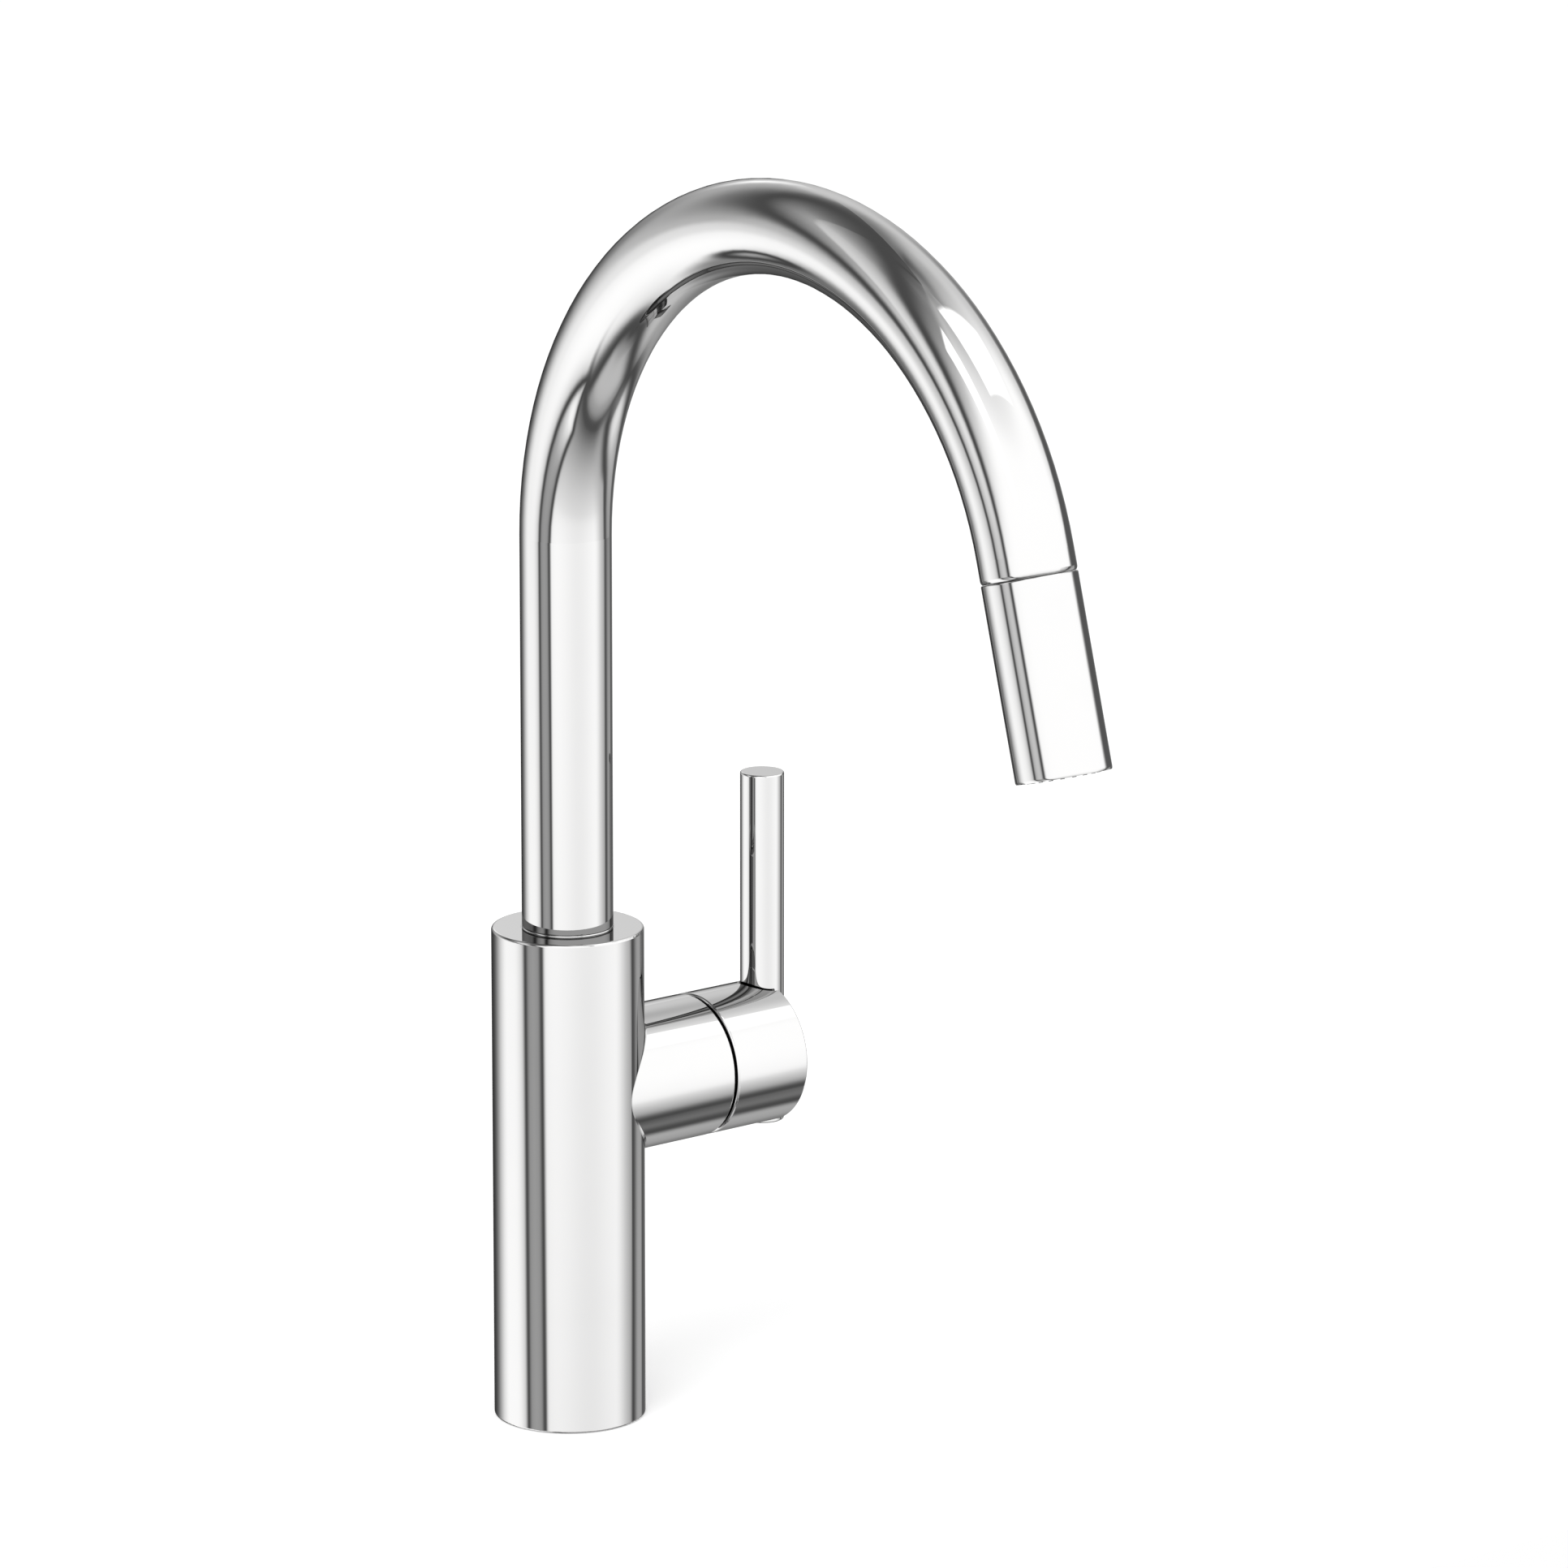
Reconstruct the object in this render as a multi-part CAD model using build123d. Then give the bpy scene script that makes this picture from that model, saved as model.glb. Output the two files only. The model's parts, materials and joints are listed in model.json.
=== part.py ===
from build123d import *
import os
from math import cos, hypot, pi, radians, sin, tan

# Pull-down kitchen faucet with a side handle. Millimetres, +Z up. The origin is the centre of the
# foot, on the deck. The spout reaches towards -Y and the handle stub points along +X.

# ---- Clearances ----
slip_fit = 0.05         # radial, between pieces that are pushed or screwed together
turning_fit = 0.05      # radial, between a shaft and its bearing
sliding_fit = 0.08      # radial, between the spray head's neck and its dock
face_play = 0.05        # along an axis, beside a turning ring in its groove

# ---- Column body ----
body_radius = 25.4
body_height = 168.4
body_edge = 0.9         # rounding of the polished top's rim
body_foot_edge = 0.6    # rounding of the rim that stands on the deck
body_wall = 3.0
socket_depth = 30.4     # socket that the spout turns in, from the body's top
socket_radius = 15.55

# ---- Foot ----
shank_thread_radius = 15.2
base_ring_height = 10.0
gasket_height = 2.2
gasket_width = 2.5

# ---- Valve block, inside the column, with the supply ports threaded for hose tails ----
block_drop = 39.6       # foot of the block, under the handle's axis
passage_radius = 9.0    # hose passage through the block
port_radius = 4.5
port_depth = 12.0
port_circle = 15.0      # distance of each port from the column's axis
port_angle = 50.0       # hot and cold, either side of the stub's direction
waterway_radius = 2.8

# ---- Side stub and cartridge, along +X from the column's axis ----
handle_height = 111.6
stub_radius = 24.14
stub_reach = 52.1
stub_edge = 0.5
stub_fillet = 1.4       # where the stub grows out of the column
seat_reach = 19.0       # the cartridge's seat on the valve block
cartridge_radius = 17.5
cartridge_base_length = 14.0
cartridge_lip = 1.5     # the base's narrower end, inside the housing
housing_wall = 2.2
housing_shoulder = 49.0
housing_nose_radius = 14.0
housing_end = 58.0
chamber_end = 46.4      # end of the room that the discs move in
nut_thread_radius = 20.0
nut_start = 45.0
nut_end = 58.0
seal_width = 1.4
seal_height = 1.2
inlet_hole_radius = 2.8
inlet_spread = 6.0
inlet_rise = 2.5
outlet_drop = 7.5

# ---- Ceramic discs ----
fixed_disc_thickness = 4.0
moving_disc_radius = 11.5
moving_disc_thickness = 3.5
disc_drop = 3.0         # the moving disc's centre lies this far under the handle's axis when shut
mixing_length = 17.0
mixing_width = 8.4
mixing_depth = 1.8
carrier_thickness = 4.2

# ---- Stem and rotor ----
pivot_reach = 61.0      # the lever's tilt axis
lever_tilt = 20.0       # degrees, shut to full flow
ball_radius = 2.6
ball_reach = 43.5
ball_play = 0.15
neck_radius = 1.9
neck_end = 46.5
stem_radius = 3.2
stem_play = 0.3
stem_pin_radius = 1.5
rotor_collar_radius = 13.0
rotor_collar_thickness = 1.4
journal_radius = 10.95
nose_radius = 9.5
nose_past_pivot = 5.0

# ---- Handle hub ----
seam_gap = 1.3
hub_reach = 83.4
hub_wall = 2.84
hub_seam_edge = 0.9
hub_rim_edge = 0.6
boss_before_pivot = 1.0
boss_radius = 13.0
glide_start = 54.8
glide_length = 2.8
hub_screw_past_pivot = 3.0
hub_screw_radius = 1.5
hub_screw_length = 4.6
hub_screw_dimple = 0.6

# ---- Lever ----
lever_radius = 7.43
lever_inset = 0.4       # the rod's axis lies this far inside the hub's end plane
lever_rise = 97.0       # top of the rod above the handle's axis
lever_foot_drop = 0.1   # the rod's foot below the hub's lowest line
lever_edge = 0.6
slot_clearance = 1.4
tang_radius = 3.0
tang_past_axis = 3.5
lever_screw_radius = 2.5
lever_screw_length = 6.0

# ---- Spout ----
spout_radius = 15.2
spout_wall = 1.3
foot_gap = 0.5
riser_length = 132.5    # straight tube from the spout's foot to the bend
arch_radius = 117.7
arch_sweep = 164.06     # degrees
outlet_straight = 7.3
tube_end_bend = 2.0     # radius on which the tube's outlet end curves in
tube_end_length = 1.4   # how much of the tube curves in there
head_seam = 0.1

# ---- Spout swivel ----
adapter_reach = 27.1    # into the tube, above the spout's foot
adapter_bore = 9.5
adapter_play = 0.25
shoulder_drop = 0.4     # the adapter's shoulder, under the body's top
washer_thickness = 1.0
bushing_height = 5.0
bushing_depth = 1.7
lower_bushing_lift = 2.0    # above the thrust washer
upper_bushing_drop = 6.4    # its lower edge, under the body's top
swivel_seal_drop = 16.6     # its middle, under the body's top
swivel_seal_section = 2.4
screw_groove_drop = 10.65   # its middle, under the body's top
screw_groove_width = 3.5
screw_groove_depth = 2.1
spout_screw_radius = 2.5
spout_screw_tip_radius = 1.5
spout_screw_inset = 1.5
foot_ring_edge = 0.45   # rounding where the tube's foot meets its ring

# ---- Pull-out hose ----
hose_radius = 6.0
hose_bore = 4.0
hose_foot = 30.0        # height of the hose's lower end
connector_radius = 8.2
connector_length = 24.0
connector_nose_radius = 5.6
connector_nose_length = 11.0
connector_grip = 10.0

# ---- Spray head, measured along its own axis from the seam: positive up into the spout ----
head_length = 62.1
shell_wall = 1.52
head_rim_edge = 0.5     # at the seam
head_end_bend = 2.0     # radius on which the head's lower end curves in
head_end_length = 0.9
neck_length = 15.0
dock_neck_radius = 11.2
dock_lip = 0.8
dock_length = 16.2
dock_wide_length = 6.8
dock_narrow_wall = 1.1
ferrule_low = -2.0
ferrule_length = 9.5
ferrule_wall = 1.35
crimp_depth = 0.35
crimp_width = 1.2
crimp_count = 3
spigot_flange_radius = 8.5
spigot_flange_height = 4.0
spigot_radius = 5.0
spigot_length = 9.0
spigot_bore = 3.0
hose_seal_section = 1.2
clip_thickness = 1.0
clip_depth = 0.6
clip_gap = 3.0
check_valve_length = 6.4
core_flange_height = 7.4
core_radius = 9.0
core_floor = -46.0
core_foot_height = 4.0
core_waterway = 3.2
core_gap = 0.25         # under the shell's upper edge
shell_gap = 0.1         # between the shell and what it holds

# ---- Spray button, on the side away from the outlet's reach ----
button_half_width = 4.7
button_top = -19.1
button_low = -42.6
button_skin = 0.1       # below the shell's surface
button_back = 11.9      # distance of its flat inner face from the head's axis
button_pivot = -28.0
button_pivot_out = 10.3
button_pin_radius = 0.8
button_boss = 3.2
button_boss_inner = 9.3
button_side_gap = 0.4
button_end_gap = 0.55
ear_thickness = 2.0
ear_gap = 0.5
ear_height = 4.8
ear_out = 11.4

# ---- Diverter ----
plunger_drop = 8.0      # below the button's pivot
plunger_radius = 2.0
plunger_inner = -3.0
plunger_collar_radius = 3.3
plunger_collar_out = 10.4
plunger_collar_thickness = 0.7
plunger_tip_radius = 1.0
plunger_tip_gap = 0.3
spring_pocket_radius = 3.6
spring_pocket_floor = 4.2
spring_wire_radius = 0.3
spring_radius = 2.75
spring_turns = 4

# ---- Spray face ----
face_recess = 0.7
face_thickness = 3.0
face_wall = 1.3
face_seal_height = 1.0
aerator_radius = 7.1
aerator_wall = 1.2
aerator_collar_wall = 1.15
aerator_collar_top = -52.0
aerator_recess = 1.3
aerator_height = 10.0
screen_thickness = 1.2
screen_hole_radius = 0.45
screen_hole_pitch = 1.5
screen_rings = 3
nozzle_count = 19
nozzle_circle = 11.2
nozzle_root_radius = 0.9
nozzle_tip_radius = 0.7
nozzle_bore = 0.35
nozzle_proud = 0.3
nozzle_mat_thickness = 1.2
nozzle_hole_gap = 0.05

# ---- Places worked out from the sizes above ----
socket_floor = body_height - socket_depth
well_height = handle_height - block_drop
well_radius = body_radius - body_wall
gasket_inner = well_radius - gasket_width
housing_chamber_radius = cartridge_radius - housing_wall
housing_start = seat_reach + cartridge_base_length - cartridge_lip
fixed_disc_start = seat_reach + cartridge_base_length
moving_disc_start = fixed_disc_start + fixed_disc_thickness
carrier_start = moving_disc_start + moving_disc_thickness
collar_start = chamber_end - 2 * face_play - rotor_collar_thickness
hub_start = stub_reach + seam_gap
nose_end = pivot_reach + nose_past_pivot
boss_start = pivot_reach - boss_before_pivot
hub_screw_reach = pivot_reach + hub_screw_past_pivot
hub_cavity_radius = stub_radius - hub_wall
lever_reach = hub_reach - lever_inset
lever_foot = handle_height - stub_radius - lever_foot_drop
lever_top = handle_height + lever_rise
lever_offset = lever_reach - pivot_reach
tube_bore = spout_radius - spout_wall
spout_foot = body_height + foot_gap
arch_start = spout_foot + riser_length
adapter_top = spout_foot + adapter_reach
lower_bushing_height = socket_floor + washer_thickness + lower_bushing_lift
upper_bushing_height = body_height - upper_bushing_drop
swivel_seal_height = body_height - swivel_seal_drop
screw_groove_height = body_height - screw_groove_drop
swivel_radius = socket_radius - adapter_play
adapter_shoulder = body_height - shoulder_drop
adapter_foot = socket_floor + washer_thickness + face_play
ring_radius = socket_radius - turning_fit
shell_bore = spout_radius - shell_wall
held_radius = shell_bore - shell_gap
shell_top = -head_seam / 2
core_top = shell_top - core_gap
dock_bore = dock_neck_radius + sliding_fit
ferrule_radius = hose_radius + slip_fit + ferrule_wall
flange_bore = spigot_flange_radius + turning_fit
spigot_hole = spigot_radius + turning_fit
spigot_flange_low = ferrule_low - spigot_flange_height
spigot_end = spigot_flange_low - spigot_length
plunger_height = button_pivot - plunger_drop
face_bottom = -head_length + face_recess
face_floor = face_bottom + face_thickness
core_foot = core_floor - core_foot_height
face_rim = core_foot - face_seal_height
face_bore = held_radius - face_wall

outlet_direction = (0, -sin(radians(arch_sweep)), cos(radians(arch_sweep)))
arch_end = (
    0,
    -arch_radius + arch_radius * cos(radians(arch_sweep)),
    arch_start + arch_radius * sin(radians(arch_sweep)),
)
head_seam_point = (
    0,
    arch_end[1] + outlet_straight * outlet_direction[1],
    arch_end[2] + outlet_straight * outlet_direction[2],
)

# Frame of the handle's axis: its X is the object's Y, its Y is up and its Z runs out along the stub.
handle_frame = Plane(origin=(0, 0, handle_height), x_dir=(0, 1, 0), z_dir=(1, 0, 0)).location
# Frame of the spray head: its Z runs up the head's axis into the spout, its Y is the hidden side.
head_frame = Plane(
    origin=head_seam_point,
    x_dir=(1, 0, 0),
    z_dir=(0, -outlet_direction[1], -outlet_direction[2]),
).location

BOTTOM = (Align.CENTER, Align.CENTER, Align.MIN)


# ---- Building blocks ----
def bar(radius, low, high):
    """A round bar about the local Z axis, between two heights."""
    return Pos(0, 0, low) * Cylinder(radius, high - low, align=BOTTOM)


def ring(outer, inner, low, high):
    """A plain ring about the local Z axis."""
    return bar(outer, low, high) - bar(inner, low, high)


def end_trim(radius, bend, length):
    """What is cut from a bar that stands on the local Z origin so that its foot curves in on a bend."""
    dome = Pos(0, 0, length) * (Torus(radius - bend, bend) + bar(radius - bend, -bend, bend))
    return bar(radius + 1, 0, length) - dome


def cross_bar(radius, start, end, height):
    """A round bar along the local Y axis at a height."""
    return Pos(0, start, height) * Rot(-90, 0, 0) * Cylinder(radius, end - start, align=BOTTOM)


def block(x_range, y_range, z_range):
    """A box between two values on each local axis."""
    size = [high - low for low, high in (x_range, y_range, z_range)]
    place = (x_range[0], y_range[0], z_range[0])
    return Pos(*place) * Box(*size, align=(Align.MIN, Align.MIN, Align.MIN))


def drilling(start, end, radius):
    """A straight round hole between two points."""
    way = Vector(*end) - Vector(*start)
    return Plane(origin=start, z_dir=way).location * Cylinder(radius, way.length, align=BOTTOM)


def rim(part, radius, height):
    """The round edges of a part that lie about the local Z axis at one height."""
    found = []
    for edge in part.edges().filter_by(GeomType.CIRCLE):
        centre = edge.arc_center
        on_axis = hypot(centre.X, centre.Y) < 1e-3
        if on_axis and abs(centre.Z - height) < 1e-3 and abs(edge.radius - radius) < 1e-3:
            found.append(edge)
    return found


def hex_socket(across_flats, depth):
    """The recess of a socket screw, opening at the local origin and running up the local Z axis."""
    return extrude(RegularPolygon(across_flats / 2, 6, major_radius=False), depth)


def upright_prism(points, half_width):
    """A prism across the handle's axis, from an outline of (reach, rise) points about the tilt axis."""
    outline = Plane(origin=(0, 0, 0), x_dir=(0, 0, 1), z_dir=(-1, 0, 0)) * Polygon(*points, align=None)
    return Pos(0, 0, pivot_reach) * extrude(outline, half_width, both=True)


def swing_slot(inner_end, outer_end, half_height, half_width):
    """The room that a bar about the handle's axis sweeps as it tilts about the stem pin."""
    slope = tan(radians(lever_tilt))
    slanted = half_height / cos(radians(lever_tilt))
    back = inner_end - pivot_reach
    front = outer_end - pivot_reach
    points = [
        (back, -half_height),
        (back, -back * slope + slanted),
        (0, slanted),
        (front, half_height),
        (front, -front * slope - slanted),
        (0, -slanted),
    ]
    return upright_prism(points, half_width)


# ---- Body ----
def port_places():
    """The hot, mixed and cold ports in the foot of the valve block."""
    angles = (-port_angle, 0, port_angle)
    return [(port_circle * cos(radians(a)), port_circle * sin(radians(a))) for a in angles]


def seat_holes():
    """The cartridge's hot, mixed and cold holes, across and along the handle's height."""
    return [(-inlet_spread, inlet_rise), (0, -outlet_drop), (inlet_spread, inlet_rise)]


def cartridge_room():
    """The bore that takes the cartridge, from its seat to the nut's thread."""
    return bar(cartridge_radius + 2 * slip_fit, seat_reach, nut_start)


def make_faucet_body():
    column = bar(body_radius, 0, body_height)
    column = fillet(rim(column, body_radius, body_height), body_edge)
    column = fillet(rim(column, body_radius, 0), body_foot_edge)
    stub = bar(stub_radius, 0, stub_reach)
    stub = fillet(rim(stub, stub_radius, stub_reach), stub_edge)
    body = column + handle_frame * stub
    curves = [edge for edge in body.edges() if edge.geom_type not in (GeomType.CIRCLE, GeomType.LINE)]
    body = fillet(curves, stub_fillet)
    body -= bar(well_radius, 0, socket_floor)
    body -= bar(socket_radius, socket_floor, body_height)
    body -= handle_frame * cartridge_room()
    body -= handle_frame * bar(nut_thread_radius, nut_start, stub_reach)
    body -= cross_bar(spout_screw_radius + slip_fit, 0, body_radius + 1, screw_groove_height) - bar(
        socket_radius - 1, 0, body_height
    )
    return body


def make_valve_block():
    valve = bar(well_radius - slip_fit, well_height, socket_floor)
    valve -= bar(passage_radius, well_height, socket_floor)
    valve -= handle_frame * cartridge_room()
    for (x, y), (across, rise) in zip(port_places(), seat_holes()):
        turn_point = (x, y, handle_height + rise)
        seat_point = (seat_reach + 1, across, handle_height + rise)
        valve -= Pos(x, y, 0) * bar(port_radius, well_height, well_height + port_depth)
        valve -= Pos(x, y, 0) * bar(waterway_radius, well_height, turn_point[2] + waterway_radius)
        valve -= drilling(turn_point, seat_point, waterway_radius)
    return valve


def make_base_ring():
    upper = ring(well_radius - slip_fit, shank_thread_radius, gasket_height, base_ring_height)
    lower = ring(gasket_inner - slip_fit, shank_thread_radius, 0, gasket_height)
    return upper + lower


def make_base_gasket():
    return ring(well_radius - slip_fit, gasket_inner, 0, gasket_height)


# ---- Cartridge ----
def make_cartridge_base():
    base_end = seat_reach + cartridge_base_length
    base = bar(cartridge_radius, seat_reach, housing_start)
    base += bar(housing_chamber_radius - slip_fit, housing_start, base_end)
    for across, rise in seat_holes():
        base -= Pos(across, rise, 0) * bar(inlet_hole_radius, seat_reach, base_end)
        seal_room = bar(inlet_hole_radius + seal_width + slip_fit, seat_reach, seat_reach + seal_height)
        base -= Pos(across, rise, 0) * seal_room
    return handle_frame * base


def make_port_seals():
    seal = ring(inlet_hole_radius + seal_width, inlet_hole_radius, seat_reach, seat_reach + seal_height)
    seals = [handle_frame * Pos(across, rise, 0) * seal for across, rise in seat_holes()]
    return Compound(children=seals)


def make_fixed_disc():
    disc = bar(housing_chamber_radius - slip_fit, fixed_disc_start, moving_disc_start)
    for across, rise in seat_holes():
        disc -= Pos(across, rise, 0) * bar(inlet_hole_radius, fixed_disc_start, moving_disc_start)
    return handle_frame * disc


def make_cartridge_housing():
    housing = bar(cartridge_radius, housing_start, housing_shoulder)
    housing += bar(housing_nose_radius, housing_shoulder, housing_end)
    housing -= bar(housing_chamber_radius, housing_start, chamber_end)
    housing -= bar(journal_radius + turning_fit, chamber_end, housing_end)
    return handle_frame * housing


def make_bonnet_nut():
    nut = bar(nut_thread_radius - slip_fit, nut_start, nut_end)
    nut -= bar(cartridge_radius + 2 * slip_fit, nut_start, housing_shoulder)
    nut -= bar(housing_nose_radius + slip_fit, housing_shoulder, nut_end)
    return handle_frame * nut


def make_hub_glide_ring():
    inner = nut_thread_radius - slip_fit
    outer = hub_cavity_radius - turning_fit
    return handle_frame * ring(outer, inner, glide_start, glide_start + glide_length)


# ---- Hub, stem and discs ----
def rod_pocket():
    """The groove in the hub's end that the rod rests in, with the room that its foot swings through."""
    groove_radius = lever_radius + slot_clearance
    tilt = radians(lever_tilt)
    reach = 3 * stub_radius
    upright = Pos(0, 0, lever_offset) * Rot(90, 0, 0) * Cylinder(groove_radius, 2 * reach)
    room = upright + Rot(lever_tilt, 0, 0) * upright
    # The rod's axis at rest and at full tilt cross here, and the room between them is a wedge below.
    crossing = -lever_offset * (1 - cos(tilt)) / sin(tilt)
    depth = crossing - reach
    wedge = [
        (lever_offset, crossing),
        (lever_offset, depth),
        (lever_offset + (depth - crossing) * tan(tilt), depth),
    ]
    return Pos(0, 0, pivot_reach) * room + upright_prism(wedge, groove_radius)


def make_handle_hub():
    hub = bar(stub_radius, hub_start, hub_reach)
    hub = fillet(rim(hub, stub_radius, hub_start), hub_seam_edge)
    hub = fillet(rim(hub, stub_radius, hub_reach), hub_rim_edge)
    hub -= ring(hub_cavity_radius, boss_radius, hub_start, nose_end)
    hub -= bar(boss_radius, hub_start, boss_start)
    hub -= bar(nose_radius + slip_fit, boss_start, nose_end + slip_fit)
    hub -= rod_pocket()
    hub -= swing_slot(boss_start, lever_reach, stem_radius + stem_play, stem_radius + stem_play)
    hub -= side_hole(hub_screw_radius + slip_fit, 0, stub_radius + 1)
    return handle_frame * hub


def make_stem_rotor():
    rotor = bar(rotor_collar_radius, collar_start, collar_start + rotor_collar_thickness)
    rotor += bar(journal_radius, collar_start + rotor_collar_thickness, housing_end)
    rotor += bar(nose_radius, housing_end, nose_end)
    rotor -= swing_slot(collar_start - 1, nose_end + 1, stem_radius + stem_play, stem_radius + stem_play)
    pin_hole = Cylinder(stem_pin_radius + slip_fit / 2, 4 * nose_radius)
    rotor -= Pos(0, 0, pivot_reach) * Rot(0, 90, 0) * pin_hole
    dimple_floor = nose_radius - hub_screw_dimple
    rotor -= side_hole(hub_screw_radius + slip_fit, dimple_floor, nose_radius + 1)
    return handle_frame * rotor


def side_hole(radius, start, end):
    """A round bar across the handle's axis towards the hidden side, at the hub screw's place."""
    return Pos(start, 0, hub_screw_reach) * Rot(0, 90, 0) * Cylinder(radius, end - start, align=BOTTOM)


def make_stem_pin():
    pin = Cylinder(stem_pin_radius, 2 * nose_radius - 6 * slip_fit)
    return handle_frame * Pos(0, 0, pivot_reach) * Rot(0, 90, 0) * pin


def make_hub_set_screw():
    start = nose_radius - hub_screw_dimple + slip_fit
    screw = side_hole(hub_screw_radius, start, start + hub_screw_length)
    recess = Pos(start + hub_screw_length, 0, hub_screw_reach) * Rot(0, -90, 0) * hex_socket(1.5, 1.6)
    return handle_frame * (screw - recess)


def make_valve_stem():
    stem = Pos(0, 0, ball_reach) * Sphere(ball_radius)
    stem += bar(neck_radius, ball_reach, neck_end)
    stem += bar(stem_radius, neck_end, lever_reach - lever_radius)
    stem += bar(tang_radius, lever_reach - lever_radius, lever_reach + tang_past_axis)
    eye = stem_pin_radius + turning_fit
    stem -= Pos(0, 0, pivot_reach) * Rot(0, 90, 0) * Cylinder(eye, 4 * stem_radius)
    return handle_frame * stem


def make_moving_disc():
    disc = Pos(0, -disc_drop, 0) * bar(moving_disc_radius, moving_disc_start, carrier_start)
    chamber = extrude(SlotOverall(mixing_length, mixing_width), mixing_depth)
    disc -= Pos(0, -outlet_drop, moving_disc_start) * chamber
    return handle_frame * disc


def make_disc_carrier():
    carrier_end = carrier_start + carrier_thickness
    carrier = Pos(0, -disc_drop, 0) * bar(moving_disc_radius, carrier_start, carrier_end)
    half = ball_radius + ball_play
    carrier -= Pos(0, 0, carrier_start) * Box(2 * half, 2 * half, 3 * carrier_thickness)
    return handle_frame * carrier


# ---- Lever ----
def make_lever_rod():
    rod = bar(lever_radius, lever_foot, lever_top)
    rod = fillet(rim(rod, lever_radius, lever_top), lever_edge)
    rod = fillet(rim(rod, lever_radius, lever_foot), lever_edge)
    screw_top = handle_height - tang_radius
    rod -= bar(lever_screw_radius + slip_fit, lever_foot, screw_top)
    rod = Pos(lever_reach, 0, 0) * rod
    tang_hole = bar(tang_radius + slip_fit, 0, lever_reach + tang_past_axis + slip_fit)
    return rod - handle_frame * tang_hole


def make_lever_set_screw():
    top = handle_height - tang_radius - slip_fit
    screw = bar(lever_screw_radius, top - lever_screw_length, top)
    screw -= Pos(0, 0, top - lever_screw_length) * hex_socket(2.5, 2.5)
    return Pos(lever_reach, 0, 0) * screw


# ---- Spout ----
def spout_path(low, outlet_drop_past_seam):
    """The spout's centre line, from a height in the column to a depth past the head's seam."""
    middle = radians(arch_sweep / 2)
    top = (0, -arch_radius + arch_radius * cos(middle), arch_start + arch_radius * sin(middle))
    run = outlet_straight + outlet_drop_past_seam
    end = tuple(a + run * d for a, d in zip(arch_end, outlet_direction))
    column = Line((0, 0, low), (0, 0, arch_start))
    arch = ThreePointArc((0, 0, arch_start), top, arch_end)
    outlet = Line(arch_end, end)
    return Wire([column, arch, outlet])


def bent_tube(outer, inner, low, past_seam):
    """A round tube along the spout's centre line."""
    section = Circle(outer) - Circle(inner)
    return sweep(Plane(origin=(0, 0, low), z_dir=(0, 0, 1)) * section, path=spout_path(low, past_seam))


def make_spout_tube():
    tube = bent_tube(spout_radius, tube_bore, spout_foot, -head_seam / 2)
    tube = fillet(rim(tube, spout_radius, spout_foot), foot_ring_edge)
    trim = end_trim(spout_radius, tube_end_bend, tube_end_length)
    return tube - head_frame * Pos(0, 0, head_seam / 2) * trim


def ring_grooves():
    """The adapter's grooves, each as middle height, width and inner radius."""
    bushing_inner = swivel_radius - bushing_depth
    seal_inner = ring_radius - swivel_seal_section - slip_fit
    return [
        (lower_bushing_height + bushing_height / 2, bushing_height, bushing_inner),
        (upper_bushing_height + bushing_height / 2, bushing_height, bushing_inner),
        (swivel_seal_height, swivel_seal_section + 4 * face_play, seal_inner),
        (screw_groove_height, screw_groove_width, swivel_radius - screw_groove_depth),
    ]


def make_spout_adapter():
    adapter = ring(swivel_radius, adapter_bore, adapter_foot, adapter_shoulder)
    adapter += ring(tube_bore - slip_fit, adapter_bore, adapter_shoulder, adapter_top)
    for middle, width, inner in ring_grooves():
        adapter -= ring(swivel_radius + 1, inner, middle - width / 2, middle + width / 2)
    return adapter


def make_swivel_bushings():
    inner = swivel_radius - bushing_depth + slip_fit
    lows = (lower_bushing_height, upper_bushing_height)
    rings = [ring(ring_radius, inner, low + face_play, low + bushing_height - face_play) for low in lows]
    return Compound(children=rings)


def make_swivel_seal():
    section = swivel_seal_section / 2
    return Pos(0, 0, swivel_seal_height) * Torus(ring_radius - section, section)


def make_thrust_washer():
    return ring(swivel_radius, adapter_bore, socket_floor, socket_floor + washer_thickness)


def make_foot_ring():
    """A chromed ring that fills the socket's mouth and carries the tube's foot."""
    collar = fillet(rim(bar(spout_radius, body_height, spout_foot), spout_radius, spout_foot), foot_ring_edge)
    collar += bar(ring_radius, adapter_shoulder, body_height)
    return collar - bar(tube_bore, adapter_shoulder, spout_foot)


def make_spout_set_screw():
    step = socket_radius + slip_fit
    tip_start = swivel_radius - screw_groove_depth + 0.3
    outer_end = body_radius - spout_screw_inset
    screw = cross_bar(spout_screw_tip_radius, tip_start, step, screw_groove_height)
    screw += cross_bar(spout_screw_radius, step, outer_end, screw_groove_height)
    recess = Pos(0, outer_end, screw_groove_height) * Rot(90, 0, 0) * hex_socket(2.5, 3)
    return screw - recess


def make_dock_insert():
    wide = ring(tube_bore - slip_fit, dock_bore, dock_lip, dock_lip + dock_wide_length)
    narrow = ring(dock_bore + dock_narrow_wall, dock_bore, dock_lip, dock_lip + dock_length)
    return head_frame * (wide + narrow)


def make_pull_hose():
    return bent_tube(hose_radius, hose_bore, hose_foot, -ferrule_low - face_play)


def make_hose_connector():
    grip_top = hose_foot + connector_grip
    foot = grip_top - connector_length
    shoulder = foot + connector_nose_length
    connector = ring(connector_radius, hose_bore, shoulder, hose_foot)
    connector += ring(connector_radius, hose_radius + slip_fit, hose_foot, grip_top)
    connector += ring(connector_nose_radius, hose_bore, foot, shoulder)
    return connector


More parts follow.
